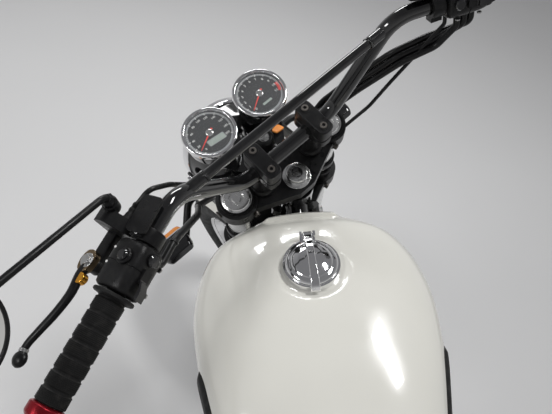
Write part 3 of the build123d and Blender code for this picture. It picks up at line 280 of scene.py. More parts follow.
def soften(points, radius, steps=4, closed=True):
    """A 2D outline with its corners rounded."""
    out = []
    count = len(points)
    for k, p in enumerate(points):
        if not closed and k in (0, count - 1):
            out.append(tuple(p))
            continue
        p = Vector(p)
        a, b = Vector(points[k - 1]) - p, Vector(points[(k + 1) % count]) - p
        r = min(radius, a.length * 0.45, b.length * 0.45)
        if r < 0.05 or abs(a.normalized().cross(b.normalized())) < 0.05:
            out.append(tuple(p))
            continue
        start, end = p + a.normalized() * r, p + b.normalized() * r
        for s in range(steps + 1):
            t = s / steps
            out.append(tuple(start * (1 - t) ** 2 + p * 2 * t * (1 - t) + end * t ** 2))
    return out


def lathe(profile, sides=64, closed=True):
    """A profile of (radius, height) turned about Z."""
    points, faces = [], []
    rows = len(profile)
    for a in around(sides):
        points += [(r * cos(a), r * sin(a), h) for r, h in profile]
    for k in range(sides):
        for j in range(rows if closed else rows - 1):
            i = (j + 1) % rows
            n = (k + 1) % sides
            faces.append((k * rows + j, n * rows + j, n * rows + i, k * rows + i))
    return points, faces


def turned(profile, radius, sides):
    """An open profile with its corners rounded, turned about Z."""
    return lathe(soften(profile, radius, closed=False), sides, closed=False)


def turned_ring(profile, radius, sides):
    """A closed profile with its corners rounded, turned about Z."""
    return lathe(soften(profile, radius), sides)


def oblong(x0, y0, x1, y1, radius=0.0, steps=4):
    """The outline of a rectangle with its corners rounded."""
    return soften([(x0, y0), (x1, y0), (x1, y1), (x0, y1)], radius, steps)


def washer(inner, outer, low, high, radius, sides):
    return lathe(oblong(inner, low, outer, high, radius), sides)


def prism(outline, low, high):
    """A flat outline carried from one height to another."""
    n = len(outline)
    points = [(x, y, low) for x, y in outline] + [(x, y, high) for x, y in outline]
    faces = [tuple(reversed(range(n))), tuple(range(n, 2 * n))]
    return points, faces + [(k, (k + 1) % n, n + (k + 1) % n, n + k) for k in range(n)]


def plate(outline, radius, low, high, steps=4):
    """A prism with its upright edges rounded."""
    return prism(soften(outline, radius, steps), low, high)


def brick(low, high):
    (a, b, c), (d, e, f) = low, high
    return prism([(a, b), (d, b), (d, e), (a, e)], c, f)


def skin(rings, looped=False):
    """Rings of matching points joined by quads, capped at both ends or joined in a loop."""
    n = len(rings[0])
    points = [tuple(p) for ring in rings for p in ring]
    faces = []
    for k in range(len(rings) if looped else len(rings) - 1):
        m = (k + 1) % len(rings)
        faces += [(k * n + j, k * n + (j + 1) % n, m * n + (j + 1) % n, m * n + j) for j in range(n)]
    if not looped:
        faces += [tuple(reversed(range(n))), tuple(range((len(rings) - 1) * n, len(rings) * n))]
    return points, faces


def curved(points, per_run=8):
    """A smooth line through the points (Catmull-Rom)."""
    p = [Vector(q) for q in points]
    p = [p[0] * 2 - p[1]] + p + [p[-1] * 2 - p[-2]]
    out = []
    for a, b, c, d in zip(p, p[1:], p[2:], p[3:]):
        for s in range(per_run):
            t = s / per_run
            cubic = (3 * b - a - 3 * c + d) * t ** 3
            out.append(0.5 * ((2 * b) + (c - a) * t + (2 * a - 5 * b + 4 * c - d) * t * t + cubic))
    return out + [p[-2]]


def arced(points, bends, steps=8):
    """Straight runs joined by arcs."""
    out = [Vector(points[0])]
    for before, corner, after, radius in zip(points, points[1:], points[2:], bends):
        corner = Vector(corner)
        back, on = (Vector(before) - corner).normalized(), (Vector(after) - corner).normalized()
        half = back.angle(on) / 2
        reach = radius / max(1e-6, abs(sin(half) / cos(half)))
        middle = corner + (back + on).normalized() * (radius / sin(half))
        a, b = corner + back * reach - middle, corner + on * reach - middle
        out += [middle + a.slerp(b, k / steps).normalized() * radius for k in range(steps + 1)]
    return out + [Vector(points[-1])]


def round_ring(middle, side, up, radius, sides):
    return [middle + side * (radius * cos(a)) + up * (radius * sin(a)) for a in around(sides)]


def pipe(route, radius, sides=16):
    """A round tube along a line; the radius may be a number or a function of the share of the way."""
    runs = [(b - a).normalized() for a, b in zip(route, route[1:])]
    side = runs[0].orthogonal().normalized()
    rings = []
    for k, p in enumerate(route):
        ahead = (runs[max(0, k - 1)] + runs[min(k, len(runs) - 1)]).normalized()
        side = (side - ahead * side.dot(ahead)).normalized()
        r = radius(k / (len(route) - 1)) if callable(radius) else radius
        rings.append(round_ring(p, side, ahead.cross(side), r, sides))
    return skin(rings)


def hoop(line, radius, sides=10):
    """A closed round cord along a loop of points."""
    rings = []
    for k, p in enumerate(line):
        ahead = (line[(k + 1) % len(line)] - line[k - 1]).normalized()
        side = ahead.cross(Vector((0, 0, 1))).normalized()
        rings.append(round_ring(p, side, side.cross(ahead), radius, sides))
    return skin(rings, looped=True)


def rod(start, end, radius, sides=24, bevel=0.0):
    """A round bar with eased ends between two points."""
    length = (Vector(end) - Vector(start)).length
    e = min(bevel, radius * 0.4, length * 0.4)
    profile = [(0, 0), (radius - e, 0), (radius, e), (radius, length - e), (radius - e, length), (0, length)]
    return moved(lathe(profile, sides, closed=False), along(start, end))


def moved(data, matrix):
    return [tuple(matrix @ Vector(p)) for p in data[0]], data[1]


def flattened(data, y, share):
    """The mesh with its Y drawn in towards a plane."""
    return [(p[0], y + (p[1] - y) * share, p[2]) for p in data[0]], data[1]


def merged(*parts):
    points, faces = [], []
    for p, f in parts:
        base = len(points)
        points += list(p)
        faces += [tuple(base + i for i in face) for face in f]
    return points, faces


def hexagon(radius):
    return [(radius * cos(a), radius * sin(a)) for a in around(6)]


def bolt(at, facing, radius=5, height=5, socket=True):
    """A cap screw with a hexagon socket, or a hexagon head on a washer."""
    place = frame_of(at, Vector(facing).orthogonal(), facing)
    if socket:
        profile = [(0, 0), (radius, 0), (radius, height * 0.85), (radius * 0.85, height),
                   (radius * 0.5, height), (radius * 0.5, height * 0.45), (0, height * 0.45)]
        return moved(lathe(profile, 24, closed=False), place)
    base = [(0, 0), (radius * 1.35, 0), (radius * 1.35, height * 0.2), (0, height * 0.2)]
    return moved(merged(lathe(base, 24, closed=False), prism(hexagon(radius), height * 0.2, height)), place)


def piece(name, groups, place, body, slot, stands_for=(), sharp=32, bevel=0.0):
    """One object from lists of mesh data by finish: placed, shaded and riding on its body."""
    mesh = bpy.data.meshes.new(name)
    points, faces, marks = [], [], []
    for mark, parts in enumerate(groups.values()):
        points, faces = merged((points, faces), *parts)
        marks += [mark] * (len(faces) - len(marks))
    mesh.from_pydata(points, [], faces)
    for finish in groups:
        mesh.materials.append(paint[finish])
    mesh.polygons.foreach_set("material_index", marks)
    mesh.transform(place)
    form = bmesh.new()
    form.from_mesh(mesh)
    bmesh.ops.remove_doubles(form, verts=form.verts, dist=2e-6)
    bmesh.ops.dissolve_degenerate(form, edges=form.edges, dist=1e-7)
    bmesh.ops.recalc_face_normals(form, faces=form.faces)
    form.to_mesh(mesh)
    form.free()
    mesh.shade_smooth()
    mesh.set_sharp_from_angle(angle=radians(sharp))
    thing = placed(name, mesh)
    if bevel:
        modifier = thing.modifiers.new("edges", "BEVEL")
        modifier.width = bevel * MM
        modifier.segments = 3
        modifier.limit_method = "ANGLE"
        modifier.angle_limit = radians(35)
        modifier.harden_normals = True
    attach(thing, body)
    if stands_for:
        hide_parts(*stands_for)
    return thing


def fork_piece(name, groups, slot, stands_for=(), **looks):
    return piece(name, groups, FORK, "steering", slot, stands_for, **looks)


def chassis_piece(name, groups, slot, stands_for=(), **looks):
    return piece(name, groups, UPRIGHT, "chassis", slot, stands_for, **looks)


def lettering(text, size, place):
    """Numbers for a dial, as a thin mesh."""
    curve = bpy.data.curves.new("number", "FONT")
    curve.body = text
    curve.size = size
    curve.extrude = 0.06
    curve.align_x = "CENTER"
    curve.align_y = "CENTER"
    curve.resolution_u = 2
    thing = placed("number", curve)
    bpy.context.view_layer.update()
    mesh = bpy.data.meshes.new_from_object(thing)
    data = [tuple(place @ v.co) for v in mesh.vertices], [tuple(p.vertices) for p in mesh.polygons]
    bpy.data.objects.remove(thing)
    bpy.data.meshes.remove(mesh)
    return data


# CAD nodes that stay as they are, with their finish
finishes = {
    "black": ["handlebar", "frame", "swingarm", "side_stand", "gauge_bracket"],
    "satin": ["fork_yokes", "front_caliper", "rear_caliper"],
    "chrome": ["front_wheel", "rear_wheel", "filler_collar"],
    "alloy": ["crankcase"],
    "polished": ["fork_left", "fork_right"],
    "fins": ["cylinders"],
    "steel": ["rear_axle", "front_axle", "left_foot_controls", "right_foot_controls"],
    "dark_steel": ["rear_sprocket"],
    "disc": ["front_disc", "rear_disc"],
    "plastic": ["throttle_bodies", "seat_pan"],
    "pearl": ["side_covers", "front_mudguard", "rear_mudguard"],
}
for finish, names in finishes.items():
    for name in names:
        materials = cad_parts[name].data.materials
        materials.clear()
        materials.append(paint[finish])

# Tank: stations of (x, half width, height of the widest line, top, half width of the bottom)
TANK_ROWS = [(-160, 100, 820, 858, 88), (20, 144, 850, 917, 114), (110, 163, 862, 932, 128),
             (200, 167, 868, 938, 132), (285, 142, 868, 932, 110), (330, 96, 858, 911, 84),
             (350, 60, 852, 896, 54)]
TANK_BOTTOM, CROWN_POWER = 757, 2.6
CAP_TILT = radians(5.4)
CAP = frame_of((210, 0, 938), (cos(CAP_TILT), 0, sin(CAP_TILT)), (-sin(CAP_TILT), 0, cos(CAP_TILT)))


def station(x):
    """A smooth row of tank sizes at any x, by a cubic through the rows."""
    rows = TANK_ROWS
    last = len(rows) - 1
    k = max(i for i in range(last) if rows[i][0] <= x or i == 0)
    span = rows[k + 1][0] - rows[k][0]
    t = (x - rows[k][0]) / span

    def rise(i, c):
        a, b = rows[max(0, i - 1)], rows[min(last, i + 1)]
        return (b[c] - a[c]) / (b[0] - a[0]) * span

    return [(2 * t ** 3 - 3 * t ** 2 + 1) * rows[k][c] + (t ** 3 - 2 * t ** 2 + t) * rise(k, c)
            + (3 * t ** 2 - 2 * t ** 3) * rows[k + 1][c] + (t ** 3 - t ** 2) * rise(k + 1, c)
            for c in range(1, 5)]


def ease(low, high, value):
    t = min(1.0, max(0.0, (value - low) / (high - low)))
    return t * t * (3 - 2 * t)


def tank_side(x, z):
    """The tank's half width at a place on its flank."""
    half, wide, top, low = station(x)
    if z >= wide:
        return half * max(0.0, 1 - ((z - wide) / (top - wide)) ** CROWN_POWER) ** (1 / CROWN_POWER)
    return half - (half - low) * ((wide - z) / (wide - TANK_BOTTOM)) ** 1.6


def tank_ring(x, grow=1.0):
    """The tank's outline at x, round the tunnel for the frame's spine."""
    half, wide, top, low = station(x)
    tunnel = min(793 + (x + 400) * 30 / 550, top - 40) if x < 150 else min(823 + (x - 150) * 0.352, top - 24)
    if x < -70:
        tunnel = min(tunnel, 776)
    floor = TANK_BOTTOM if x > -70 else 772
    side = [(0, tunnel), (22, tunnel), (31, tunnel - 10), (31, TANK_BOTTOM + 3), (34, TANK_BOTTOM)]
    side = [(y, max(z, floor)) for y, z in side]
    edge = tank_side(x, floor + 12)
    side += [(edge - 14, floor), (edge - 4, floor + 3)]
    for k in range(12):
        z = floor + 12 + (wide - floor - 12) * k / 12
        side.append((tank_side(x, z), z))
    for k in range(1, 45):
        a = pi / 2 * k / 45
        side.append((half * cos(a) ** (2 / CROWN_POWER), wide + (top - wide) * sin(a) ** (2 / CROWN_POWER)))
    side.append((0, top))
    ring = side + [(-y, z) for y, z in reversed(side[1:-1])]
    middle = (tunnel + top) / 2
    return [(y * grow, middle + (z - middle) * grow) for y, z in ring]


def tank_mesh():
    """The tank, with a seat for the cap's collar and a lip at its nose."""
    to_cap = CAP.inverted()
    rings = []
    for x in [-160 + 5 * k for k in range(96)] + [318 + 1.6 * k for k in range(21)]:
        ring = []
        for y, z in tank_ring(x):
            spot = to_cap @ Vector((x, y, z))
            reach = hypot(spot.x, spot.y)
            if spot.z > -30 and reach < 56:
                spot.z = -3 + (spot.z + 3) * ease(44, 55, reach)
                ring.append(CAP @ spot)
                continue
            if z > 860:
                z += 7 * ease(321, 326, x) * (1 - ease(331, 335, x)) * (1 - ease(50, 62, abs(y)))
            ring.append((x, y, z))
        rings.append(ring)
    ends = ((1.5, 0.985), (3, 0.95), (4, 0.9))
    nose = [[(350 + d, y, z) for y, z in tank_ring(349.9, g)] for d, g in ends]
    tail = [[(-160 - d, y, z) for y, z in tank_ring(-159.9, g)] for d, g in reversed(ends)]
    return skin(tail + rings + nose)


def knee_pad(side):
    """A ribbed pad on the tank's flank."""
    rings = []
    for k in range(61):
        u = k / 60
        x = -104 + 206 * u
        high = 842 + 24 * min(1, (x + 104) / 64) if x < -40 else 866 + 26 * (x + 40) / 144
        low = 797 + 10 * max(0, (x + 104)) / 164 if x < 60 else 807 + 33 * ((x - 60) / 42) ** 1.6
        round_off = 1 - abs(2 * u - 1) ** 10
        middle, tall = (high + low) / 2, (high - low) / 2 * (0.55 + 0.45 * round_off)
        ring = []
        for j in range(25):
            v = -1 + j / 12
            z = middle + tall * v
            rib = 0.5 if 0.25 < (abs(v) * 5) % 1 < 0.75 and abs(v) < 0.8 else 0
            lift = 4.2 * (1 - abs(v) ** 12) * min(1, round_off * 1.5) - rib
            ring.append((x, side * (tank_side(x, z) + max(0.1, lift)), z))
        for v in (1, 0, -1):
            z = middle + tall * v
            ring.append((x, side * (tank_side(x, z) - 1.5), z))
        rings.append(ring)
    return skin(rings)


chassis_piece("tank_shell", {"pearl": [tank_mesh()]}, "cream_paint", ["fuel_tank"], sharp=40)
chassis_piece("knee_pad_rubbers", {"rubber": [knee_pad(s) for s in SIDES]}, "rubber", sharp=50)

# Filler cap
dome = [(0, 18), (9, 17.8), (18, 16.6), (25, 14.6), (27.5, 13.2), (28.5, 12.2), (30, 12.2), (33.5, 10.8),
        (36, 8.6), (36, 6.4), (0, 6.4)]
strap_line = [(45, 0, 10), (40, 0, 13.5), (30, 0, 15.5), (15, 0, 18.6), (0, 0, 19.4), (-15, 0, 18.6),
              (-30, 0, 14.6), (-40, 0, 9), (-43.4, 0, 4)]
STRAP_DEEP = 2.6
strap = []
for p in curved(strap_line, 6):
    w = 6.6 - 1.2 * (1 - abs(p.x) / 46)
    low, high = p.z - STRAP_DEEP, p.z + STRAP_DEEP * 0.7
    strap.append([(p.x, w, low), (p.x, w, p.z), (p.x, w - 1.4, high), (p.x, 1.4 - w, high), (p.x, -w, p.z),
                  (p.x, -w, low)])
knuckle = rod((45, -6.4, 10), (45, 6.4, 10), 4.2, 20, 1)
piece("filler_cap", {"chrome": [turned(dome, 2, 96), skin(strap), knuckle]}, UPRIGHT @ CAP, "cap_lid",
      "chrome", ["cap_lid"], sharp=38, bevel=0.5)


# Instruments
def dial(side):
    """An instrument: cup, bezel, face, ticks, numbers, needle, hub and glass."""
    speed = side > 0
    place = FORK @ shift(DIAL_X, side * DIAL_Y, 0)
    cup = turned_ring([(0, -51.8), (28, -51.8), (39, -38), (42.5, -14), (42.5, -9), (0, -9)], 3, 72)
    bezel = turned_ring([(38.6, -2.2), (39.6, 0.6), (43.4, 0.6), (45, -1.2), (45, -8), (43.2, -11.5),
                         (41, -11.5)], 1.2, 96)
    face = lathe([(0, -5), (39.5, -5), (39.5, -6), (0, -6)], 72, closed=False)
    ring = lathe([(34.6, -4.9), (38.4, -4.9), (38.4, -4.98), (34.6, -4.98)], 96)
    marks = []
    first, last, count = (-130, 130, 10) if speed else (-128, 118, 11)
    for k in range(count * 5 + 1):
        round_face = turn("Z", -(first + (last - first) * k / (count * 5)))
        deep, half = (2.2, 0.32) if k % 5 else (4.2, 0.55)
        marks.append(moved(brick((37.6 - deep, -half, -4.86), (37.6, half, -4.78)), round_face))
        if k % 5 == 0:
            spot = round_face @ Vector((28.2, 0, -4.86))
            text, size = (str(k // 5 * 20), 5.2) if speed else (str(k // 5), 6.4)
            marks.append(lettering(text, size, shift(*spot) @ turn("Z", -90)))
    needle = prism([(-9, -1.6), (-9, 1.6), (4, 1.1), (33, 0.35), (33, -0.35), (4, -1.1)], -3.9, -3.1)
    hub = turned([(0, -4.9), (6.6, -4.9), (6.4, -2.4), (5, -1.6), (0, -1.4)], 0.8, 36)
    groups = {"gloss": [cup], "chrome": [bezel], "dial": [face], "grey_ink": [ring], "ink": marks,
              "needle": [moved(needle, turn("Z", 118 if speed else 122))], "polished": [hub]}
    if speed:
        rim = [(-23, -17.2), (-11.2, -17.2), (-8, 14.2), (-19.6, 14.2)]
        groups["lcd"] = [plate([(-22, -16), (-12, -16), (-9, 13), (-19, 13)], 1.5, -4.88, -4.7)]
        groups["grey_ink"].append(plate(rim, 2, -4.94, -4.83))
    else:
        red_mark = brick((31.5, -0.8, -4.84), (36.5, 0.8, -4.74))
        groups["lcd"] = [brick((-21, -9, -4.88), (-17, 9, -4.8))]
        groups["needle"] += [moved(red_mark, turn("Z", -a)) for a in range(94, 120, 4)]
    name = "speedometer" if speed else "tachometer"
    piece(name + "_dial", groups, place, "steering", "chrome", [name], sharp=30)
    glass = lathe([(0, -1.6), (14, -1.75), (27, -2.3), (38.8, -3.2)], 72, closed=False)
    piece(name + "_glass", {"glass": [glass]}, place, "steering", "gloss_plastic")


for s in SIDES:
    dial(s)

# Yoke fittings
cap_top = turned([(0, 1.4), (5.5, 1.4), (6, 0.6), (6.2, -1), (10.6, -1), (11, 1.6), (19.4, 1.6), (20.4, 0.4),
                  (22.8, -0.4), (23.5, -1.6), (23.5, -5.4), (0, -5.4)], 0.8, 72)
fork_cap = merged(cap_top, prism(hexagon(7.6), -0.9, 2.6))
neck = turned_ring([(24.2, -9), (24.2, -7.5), (26.5, -7.5), (26.5, -12.2), (24.2, -12.2)], 0.6, 64)
nut_profile = soften([(16.9, -14.6), (16.9, -1), (15.6, 0.7), (9.4, 0.7)], 0.7, closed=False)
nut = lathe(nut_profile + [(8.3, 0.6), (8.2, -6), (0, -6)], 72, closed=False)
nut_washer = turned([(0, -14.9), (22, -14.9), (22, -12.6), (0, -12.6)], 0.7, 64)
caps = [moved(fork_cap, shift(FORK_X, s * FORK_Y, -5.6)) for s in SIDES]
necks = [moved(neck, shift(FORK_X, s * FORK_Y, 0)) for s in SIDES]
fork_piece("fork_caps", {"polished": [*caps, nut, nut_washer], "satin": necks}, "bare_alloy")
pinch = []
for s in SIDES:
    for high in (-24, -184):
        pinch.append(bolt((FORK_X - 31.5, s * 84, high), (-1, s * 0.25, 0), 4.6, 6))
        pinch.append(rod((FORK_X + 4, s * 127, high), (FORK_X + 4, s * 129.5, high), 6.2, 24, 0.8))
fork_piece("yoke_pinch_bolts", {"dark_steel": pinch}, "steel")


def riser(side):
    """A riser: post, lower clamp and cap."""
    outline = oblong(-31, -12.5, 31, 12.5, 10, 8)
    post = turned([(0, -11.6), (18.5, -11.6), (18.5, -7), (15.6, -3), (15.6, 30), (17.5, 40), (0, 40)], 3, 48)
    parts = merged(prism(outline, 38, 53.4), prism(outline, 55, 79), post)
    return moved(parts, shift(RISER_X, side * RISER_Y, 0))


fork_piece("riser_clamps", {"satin": [riser(s) for s in SIDES]}, "black_alloy", ["handlebar_risers"], bevel=1.8)
riser_holes = [(RISER_X + b * 19, s * RISER_Y) for s in SIDES for b in SIDES]
screws = [bolt((x, y, 76.6), (0, 0, 1), 5.4, 4.6) for x, y in riser_holes]
rings = [moved(washer(5.4, 8, 78.9, 79.7, 0.3, 32), shift(x, y, 0)) for x, y in riser_holes]
fork_piece("riser_screws", {"dark_steel": screws, "satin": rings}, "steel")

# Handlebar brace ends
brace_ends = []
for s in SIDES:
    joint, inboard = Vector((21.1, s * 172, 164)), Vector((0, -s, 0))
    for start, end, radius, sides, bevel in ((6, 30, 8.2, 32, 1.2), (30, 33, 9, 6, 0.4)):
        brace_ends.append(rod(joint + inboard * start, joint + inboard * end, radius, sides, bevel))
fork_piece("brace_collars", {"black": brace_ends}, "black_paint", bevel=0.3)


# Controls on the bar
def on_bar(side, inboard):
    """A matrix on the bar, some way in from its end: Z out along the bar, X ahead."""
    run = Vector((-0.37257, 0.927462, 0.031708))
    spot = Vector((-73, 418, 187)) - run * inboard
    return frame_of((spot.x, side * spot.y, spot.z), AHEAD, (run.x, side * run.y, run.z))


def grip(side):
    """A ribbed grip with its flange and bar end weight."""
    profile = [(11.4, 0), (23, 0), (24, 1), (24, 3.4), (22.5, 4.4), (18.2, 5.2)]
    bands, ribs = 7, 7
    pitch = 116.5 / bands
    for k in range(bands):
        a = 5.4 + k * pitch
        profile += [(15.6, a + 0.6), (15.6, a + 2.4), (16.9, a + 3.4)]
        for j in range(ribs):
            b = a + 3.6 + (pitch - 4) * j / ribs
            profile += [(17.1, b), (17.1, b + 0.9), (16.6, b + 1.25), (16.6, b + 1.6)]
    profile += [(16.4, 120.6), (15.4, 122), (11.4, 122)]
    weight = turned([(0, 122.3), (16, 122.3), (19.5, 124.5), (19.5, 134.5), (17, 138.3), (9, 138.3),
                     (8, 136.5), (5, 136.5), (4.6, 134), (0, 134)], 1, 64)
    name = NAMES[side] + "_grip"
    piece(name + "_rubber", {"rubber": [lathe(profile, 64)], "red_alloy": [weight]},
          FORK @ on_bar(side, GRIP_AT), "steering", "rubber", [name], sharp=28)


def squared(value, power):
    """A sine or cosine for a circle that is drawn out towards a square."""
    return copysign(abs(value) ** (2 / power), value)


def switch_gear(side):
    """A switch housing with its buttons."""
    up = -side
    top = up * 22
    stations = [(0.2, 0.80), (1.5, 0.88), (4, 0.95), (10, 0.985), (20, 1.0), (28.4, 1.0), (28.6, 0.965),
                (29.4, 0.965), (29.6, 1.0), (40, 1.0), (50, 0.985), (55, 0.95), (57, 0.88), (57.9, 0.80)]
    shell = skin([[(24 * grow * squared(cos(a), 3.4), 22 * grow * squared(sin(a), 3.4), z)
                   for a in around(48)] for z, grow in stations])
    deck = plate([(x, up * y) for x, y in ((-15, 6), (15, 6), (17, 52), (-13, 52))], 6, 0, 3.2, 6)
    deck = moved(deck, frame_of((0, top - up, 0), (1, 0, 0), (0, up, 0)))
    button = rod((-6, top, 22), (-6, top + up * 7, 22), 6.4, 32, 1.4)
    collar = rod((-6, top, 22), (-6, top + up * 4, 22), 9.2, 32, 1)
    slide = brick((-27, -6, 24), (-22, 6, 40))
    paddle = [(-22, -7, 34), (-27, -7, 36), (-31, -6, 46), (-30, -5, 56)]
    arm = skin([[(x, y, z), (x, y + 13, z), (x - 3, y + 12, z + 2), (x - 3, y + 1, z + 2)]
                for x, y, z in paddle])
    horn = rod((-23, up * 2, 12), (-28.5, up * 2, 12), 7.5, 32, 1.6)
    screws = [bolt((x, -up * 21.5, z), (0, -up, 0), 3, 2) for x in (18, -18) for z in (14, 46)]
    dots = [rod((12, top + up * 1.9, z), (12, top + up * 2.7, z), 1.5, 16, 0.3) for z in (16, 34)]
    groups = {"plastic": [shell, deck, slide, collar], "gloss": [button, arm, horn], "steel": screws, "ink": dots}
    name = NAMES[side] + "_switch"
    piece(name + "_gear", groups, FORK @ on_bar(side, SWITCH_AT), "steering", "black_plastic", [name],
          sharp=35, bevel=0.5)


def perch(side):
    """A lever's perch with the boss that holds the mirror."""
    up = -side
    place = on_bar(side, PERCH_AT)
    view = ((14, -8), (44, -8), (56, -4), (56, 34), (38, 38), (26, 22), (14, 12))
    parts = [plate([(x, up * y) for x, y in view], 5, 0.4, 17.6, 5),
             washer(11.3, 18, 0, 18, 1.6, 56),
             *(brick((-7, s * 15.4, 1), (7, s * 22, 17)) for s in SIDES),
             prism(oblong(41, -6, 57, 6, 2.5), 15, 56),
             rod((49, -6.4, 58.5), (49, 6.4, 58.5), 9.6, 40, 1)]
    if up > 0:
        parts.append(plate([(30, -6), (52, -4), (52, 30), (38, 32), (28, 18)], 4, 17.4, 19, 5))
    screws = [bolt((-2, up * 21.6, z), (0, up, 0), 2.6, 2) for z in (5, 13)]
    boss = rod((52, side * 246, 185), (52, side * 246, 203.4), 9, 40, 1.2)
    name = NAMES[side]
    fork_piece(name + "_lever_perch", {"satin": [moved(merged(*parts), place), boss],
                                       "steel": [moved(merged(*screws), place)]},
               "black_alloy", [name + "_perch"], sharp=35, bevel=0.7)


def lever(side):
    """A ball ended lever with its pivot, adjuster and band."""
    up = -side
    y = up * 10.8
    route = curved([(49, y, 60), (50.5, y, 76), (47.5, y, 98), (51, y, 122), (58, y, 146), (62.5, y, 164),
                    (60, y, 179)], 8)
    blade = flattened(pipe(route, lambda t: 7.2 - 2.8 * t ** 0.7, 20), y, 0.78)
    ball = [(0.1, -9.4), (4, -8.6), (7, -6.4), (8.9, -3), (9.4, 0), (8.9, 3), (7, 6.4), (4, 8.6), (0.1, 9.4)]
    tip = moved(lathe(ball, 32, closed=False), frame_of((60, y, 179), (1, 0, 0), (0, 1, 0)))
    root = [(40, -50), (47, -44.5), (56, -46.5), (60.5, -58), (57, -72), (44, -72), (40.5, -60)]
    eye = moved(plate(root, 6, -4.4, 4.4, 6), frame_of((0, y, 0), (1, 0, 0), (0, 1, 0)))
    pin = bolt((49, up * 15, 58.5), (0, up, 0), 6.4, 4.2, socket=False)
    wheel = rod((46, up * 6.4, 79), (46, up * 15.2, 79), 6.8, 18, 0.6)
    band = pipe(route[42:45], 5.15, 20)
    groups = {"satin": [blade, flattened(tip, y, 0.6)], "bronze": [eye], "steel": [pin, band], "gold": [wheel]}
    name = ("clutch" if side > 0 else "brake") + "_lever"
    piece(name + "_blade", groups, FORK @ on_bar(side, PERCH_AT), "steering", "black_alloy", [name],
          sharp=40, bevel=0.5)


def mirror(side):
    """A round mirror on its bent stem."""
    middle = Vector((-1.4, side * 429, 305))
    facing = Vector((-0.720, side * -0.200, 0.665)).normalized()
    place = frame_of(middle, (0, 1, 0), facing)
    shell = turned([(0, -17), (20, -16.4), (42, -11.5), (54, -5.5), (58, -0.5), (58, 2.6), (56.6, 4),
                    (54.6, 4), (54, 2.2), (54, 1.2), (0, 1.2)], 1.6, 96)
    glass = lathe([(0, 1.9), (20, 1.85), (40, 1.6), (54, 1.3), (54, 0.9), (0, 0.9)], 96, closed=False)
    foot = Vector((52, side * 246, 203.4))
    line = [foot + Vector((0, 0, -3)), foot + Vector((0, 0, 16)), middle - facing * 13]
    boss = turned([(0, 0), (8.6, 0), (8.6, 6.5), (5.2, 9.5), (5.2, 13), (0, 13)], 1, 6)
    name = NAMES[side] + "_mirror"
    fork_piece(name + "_head", {"plastic": [moved(shell, place)], "mirror": [moved(glass, place)],
                                "satin": [pipe(arced(line, [13]), 4.1, 20), moved(boss, shift(*foot))]},
               "black_plastic", [name], sharp=35)


for s in SIDES:
    for make in (grip, switch_gear, perch, lever, mirror):
        make(s)


# Cables, each held at both ends
def lamp_back(y, radius):
    """The last run of a cable, square into the back of the headlamp."""
    depth = 76 - (abs(y) - radius) * 10 / 54 + 0.3
    middle = Vector((LAMP_X, y, LAMP_Z))
    return [middle - AHEAD * (depth + 24), middle - AHEAD * depth]


left_end = on_bar(1, 202.3)
clutch_run = [left_end @ Vector((30, -14, 0)), left_end @ Vector((30, -14, -13)), (41, 203, 189),
              (38, 180, 172), (52, 150, 100), (84, 92, -30), (70, 64, -100), (48, 46, -146), (48, 46, -172.4)]
boot = pipe([left_end @ Vector((30, -14, 0.5 - 2 * k)) for k in range(12)],
            lambda t: (6.2 if t < 0.15 else 5.4 - 2.0 * t) + 0.45 * sin(t * 50), 24)
foot_boot = rod((48, 46, -172.4), (48, 46, -152), 4.6, 24, 1)
fork_piece("clutch_cable_run", {"cable": [pipe(arced(clutch_run, [10, 16, 20, 60, 60, 40, 20], 10), 3.2)],
                                "rubber": [boot], "steel": [foot_boot]}, "rubber")
loom_end = on_bar(1, 174)
loom_run = [loom_end @ Vector((0, 22.3, 0)), loom_end @ Vector((0, 40, 0)), (-8, 216, 140), (20, 166, 80),
            (56, 146, 10), (84, 92, -84), *lamp_back(30, 4.8)]
loom_line = arced(loom_run, [12, 30, 50, 50, 40, 14], 10)
gland = pipe([loom_end @ Vector((0, 21.6 + 1.4 * k, 0)) for k in range(9)],
             lambda t: 7.2 - 2.2 * t + 0.4 * sin(t * 40), 24)
tie = washer(4.9, 5.9, -1.6, 1.6, 0, 24)
ties = [moved(tie, along(loom_line[k], loom_line[k + 1])) for k in (16, 34, 52)]
fork_piece("switch_loom_run", {"cable": [pipe(loom_line, 4.8)], "rubber": [gland], "plastic": ties}, "rubber")
bundle = []
for k in (-1, 0, 1):
    start, step = on_bar(-1, 150 + 10.5 * k), 10.4 * k
    run = [start @ Vector((-4, -22.3, 0)), start @ Vector((-4, -40, 0)), (-16 - step, -240, 116),
           (4 - step, -196, 100), (36 - step, -156, 36), (66 - step, -134, -36), (86, -82 + step, -100),
           *lamp_back(step - 30, 4.8)]
    bundle.append(pipe(arced(run, [12, 24, 40, 60, 50, 36, 14], 10), 4.8))
start = on_bar(-1, 174)
thin_run = [start @ Vector((4, -22.3, 0)), start @ Vector((4, -36, 0)), (-6, -182, 60), (2, -158, 12),
            (14, -112, -24), (40, -72, -72), (48, -46, -130), (48, -46, -172.4)]
bundle.append(pipe(arced(thin_run, [10, 60, 40, 30, 40, 20], 10), 2.8, 14))
ferrule = rod((48, -46, -172.4), (48, -46, -152), 4.2, 20, 0.8)
fork_piece("throttle_cable_runs", {"cable": bundle, "steel": [ferrule]}, "rubber")

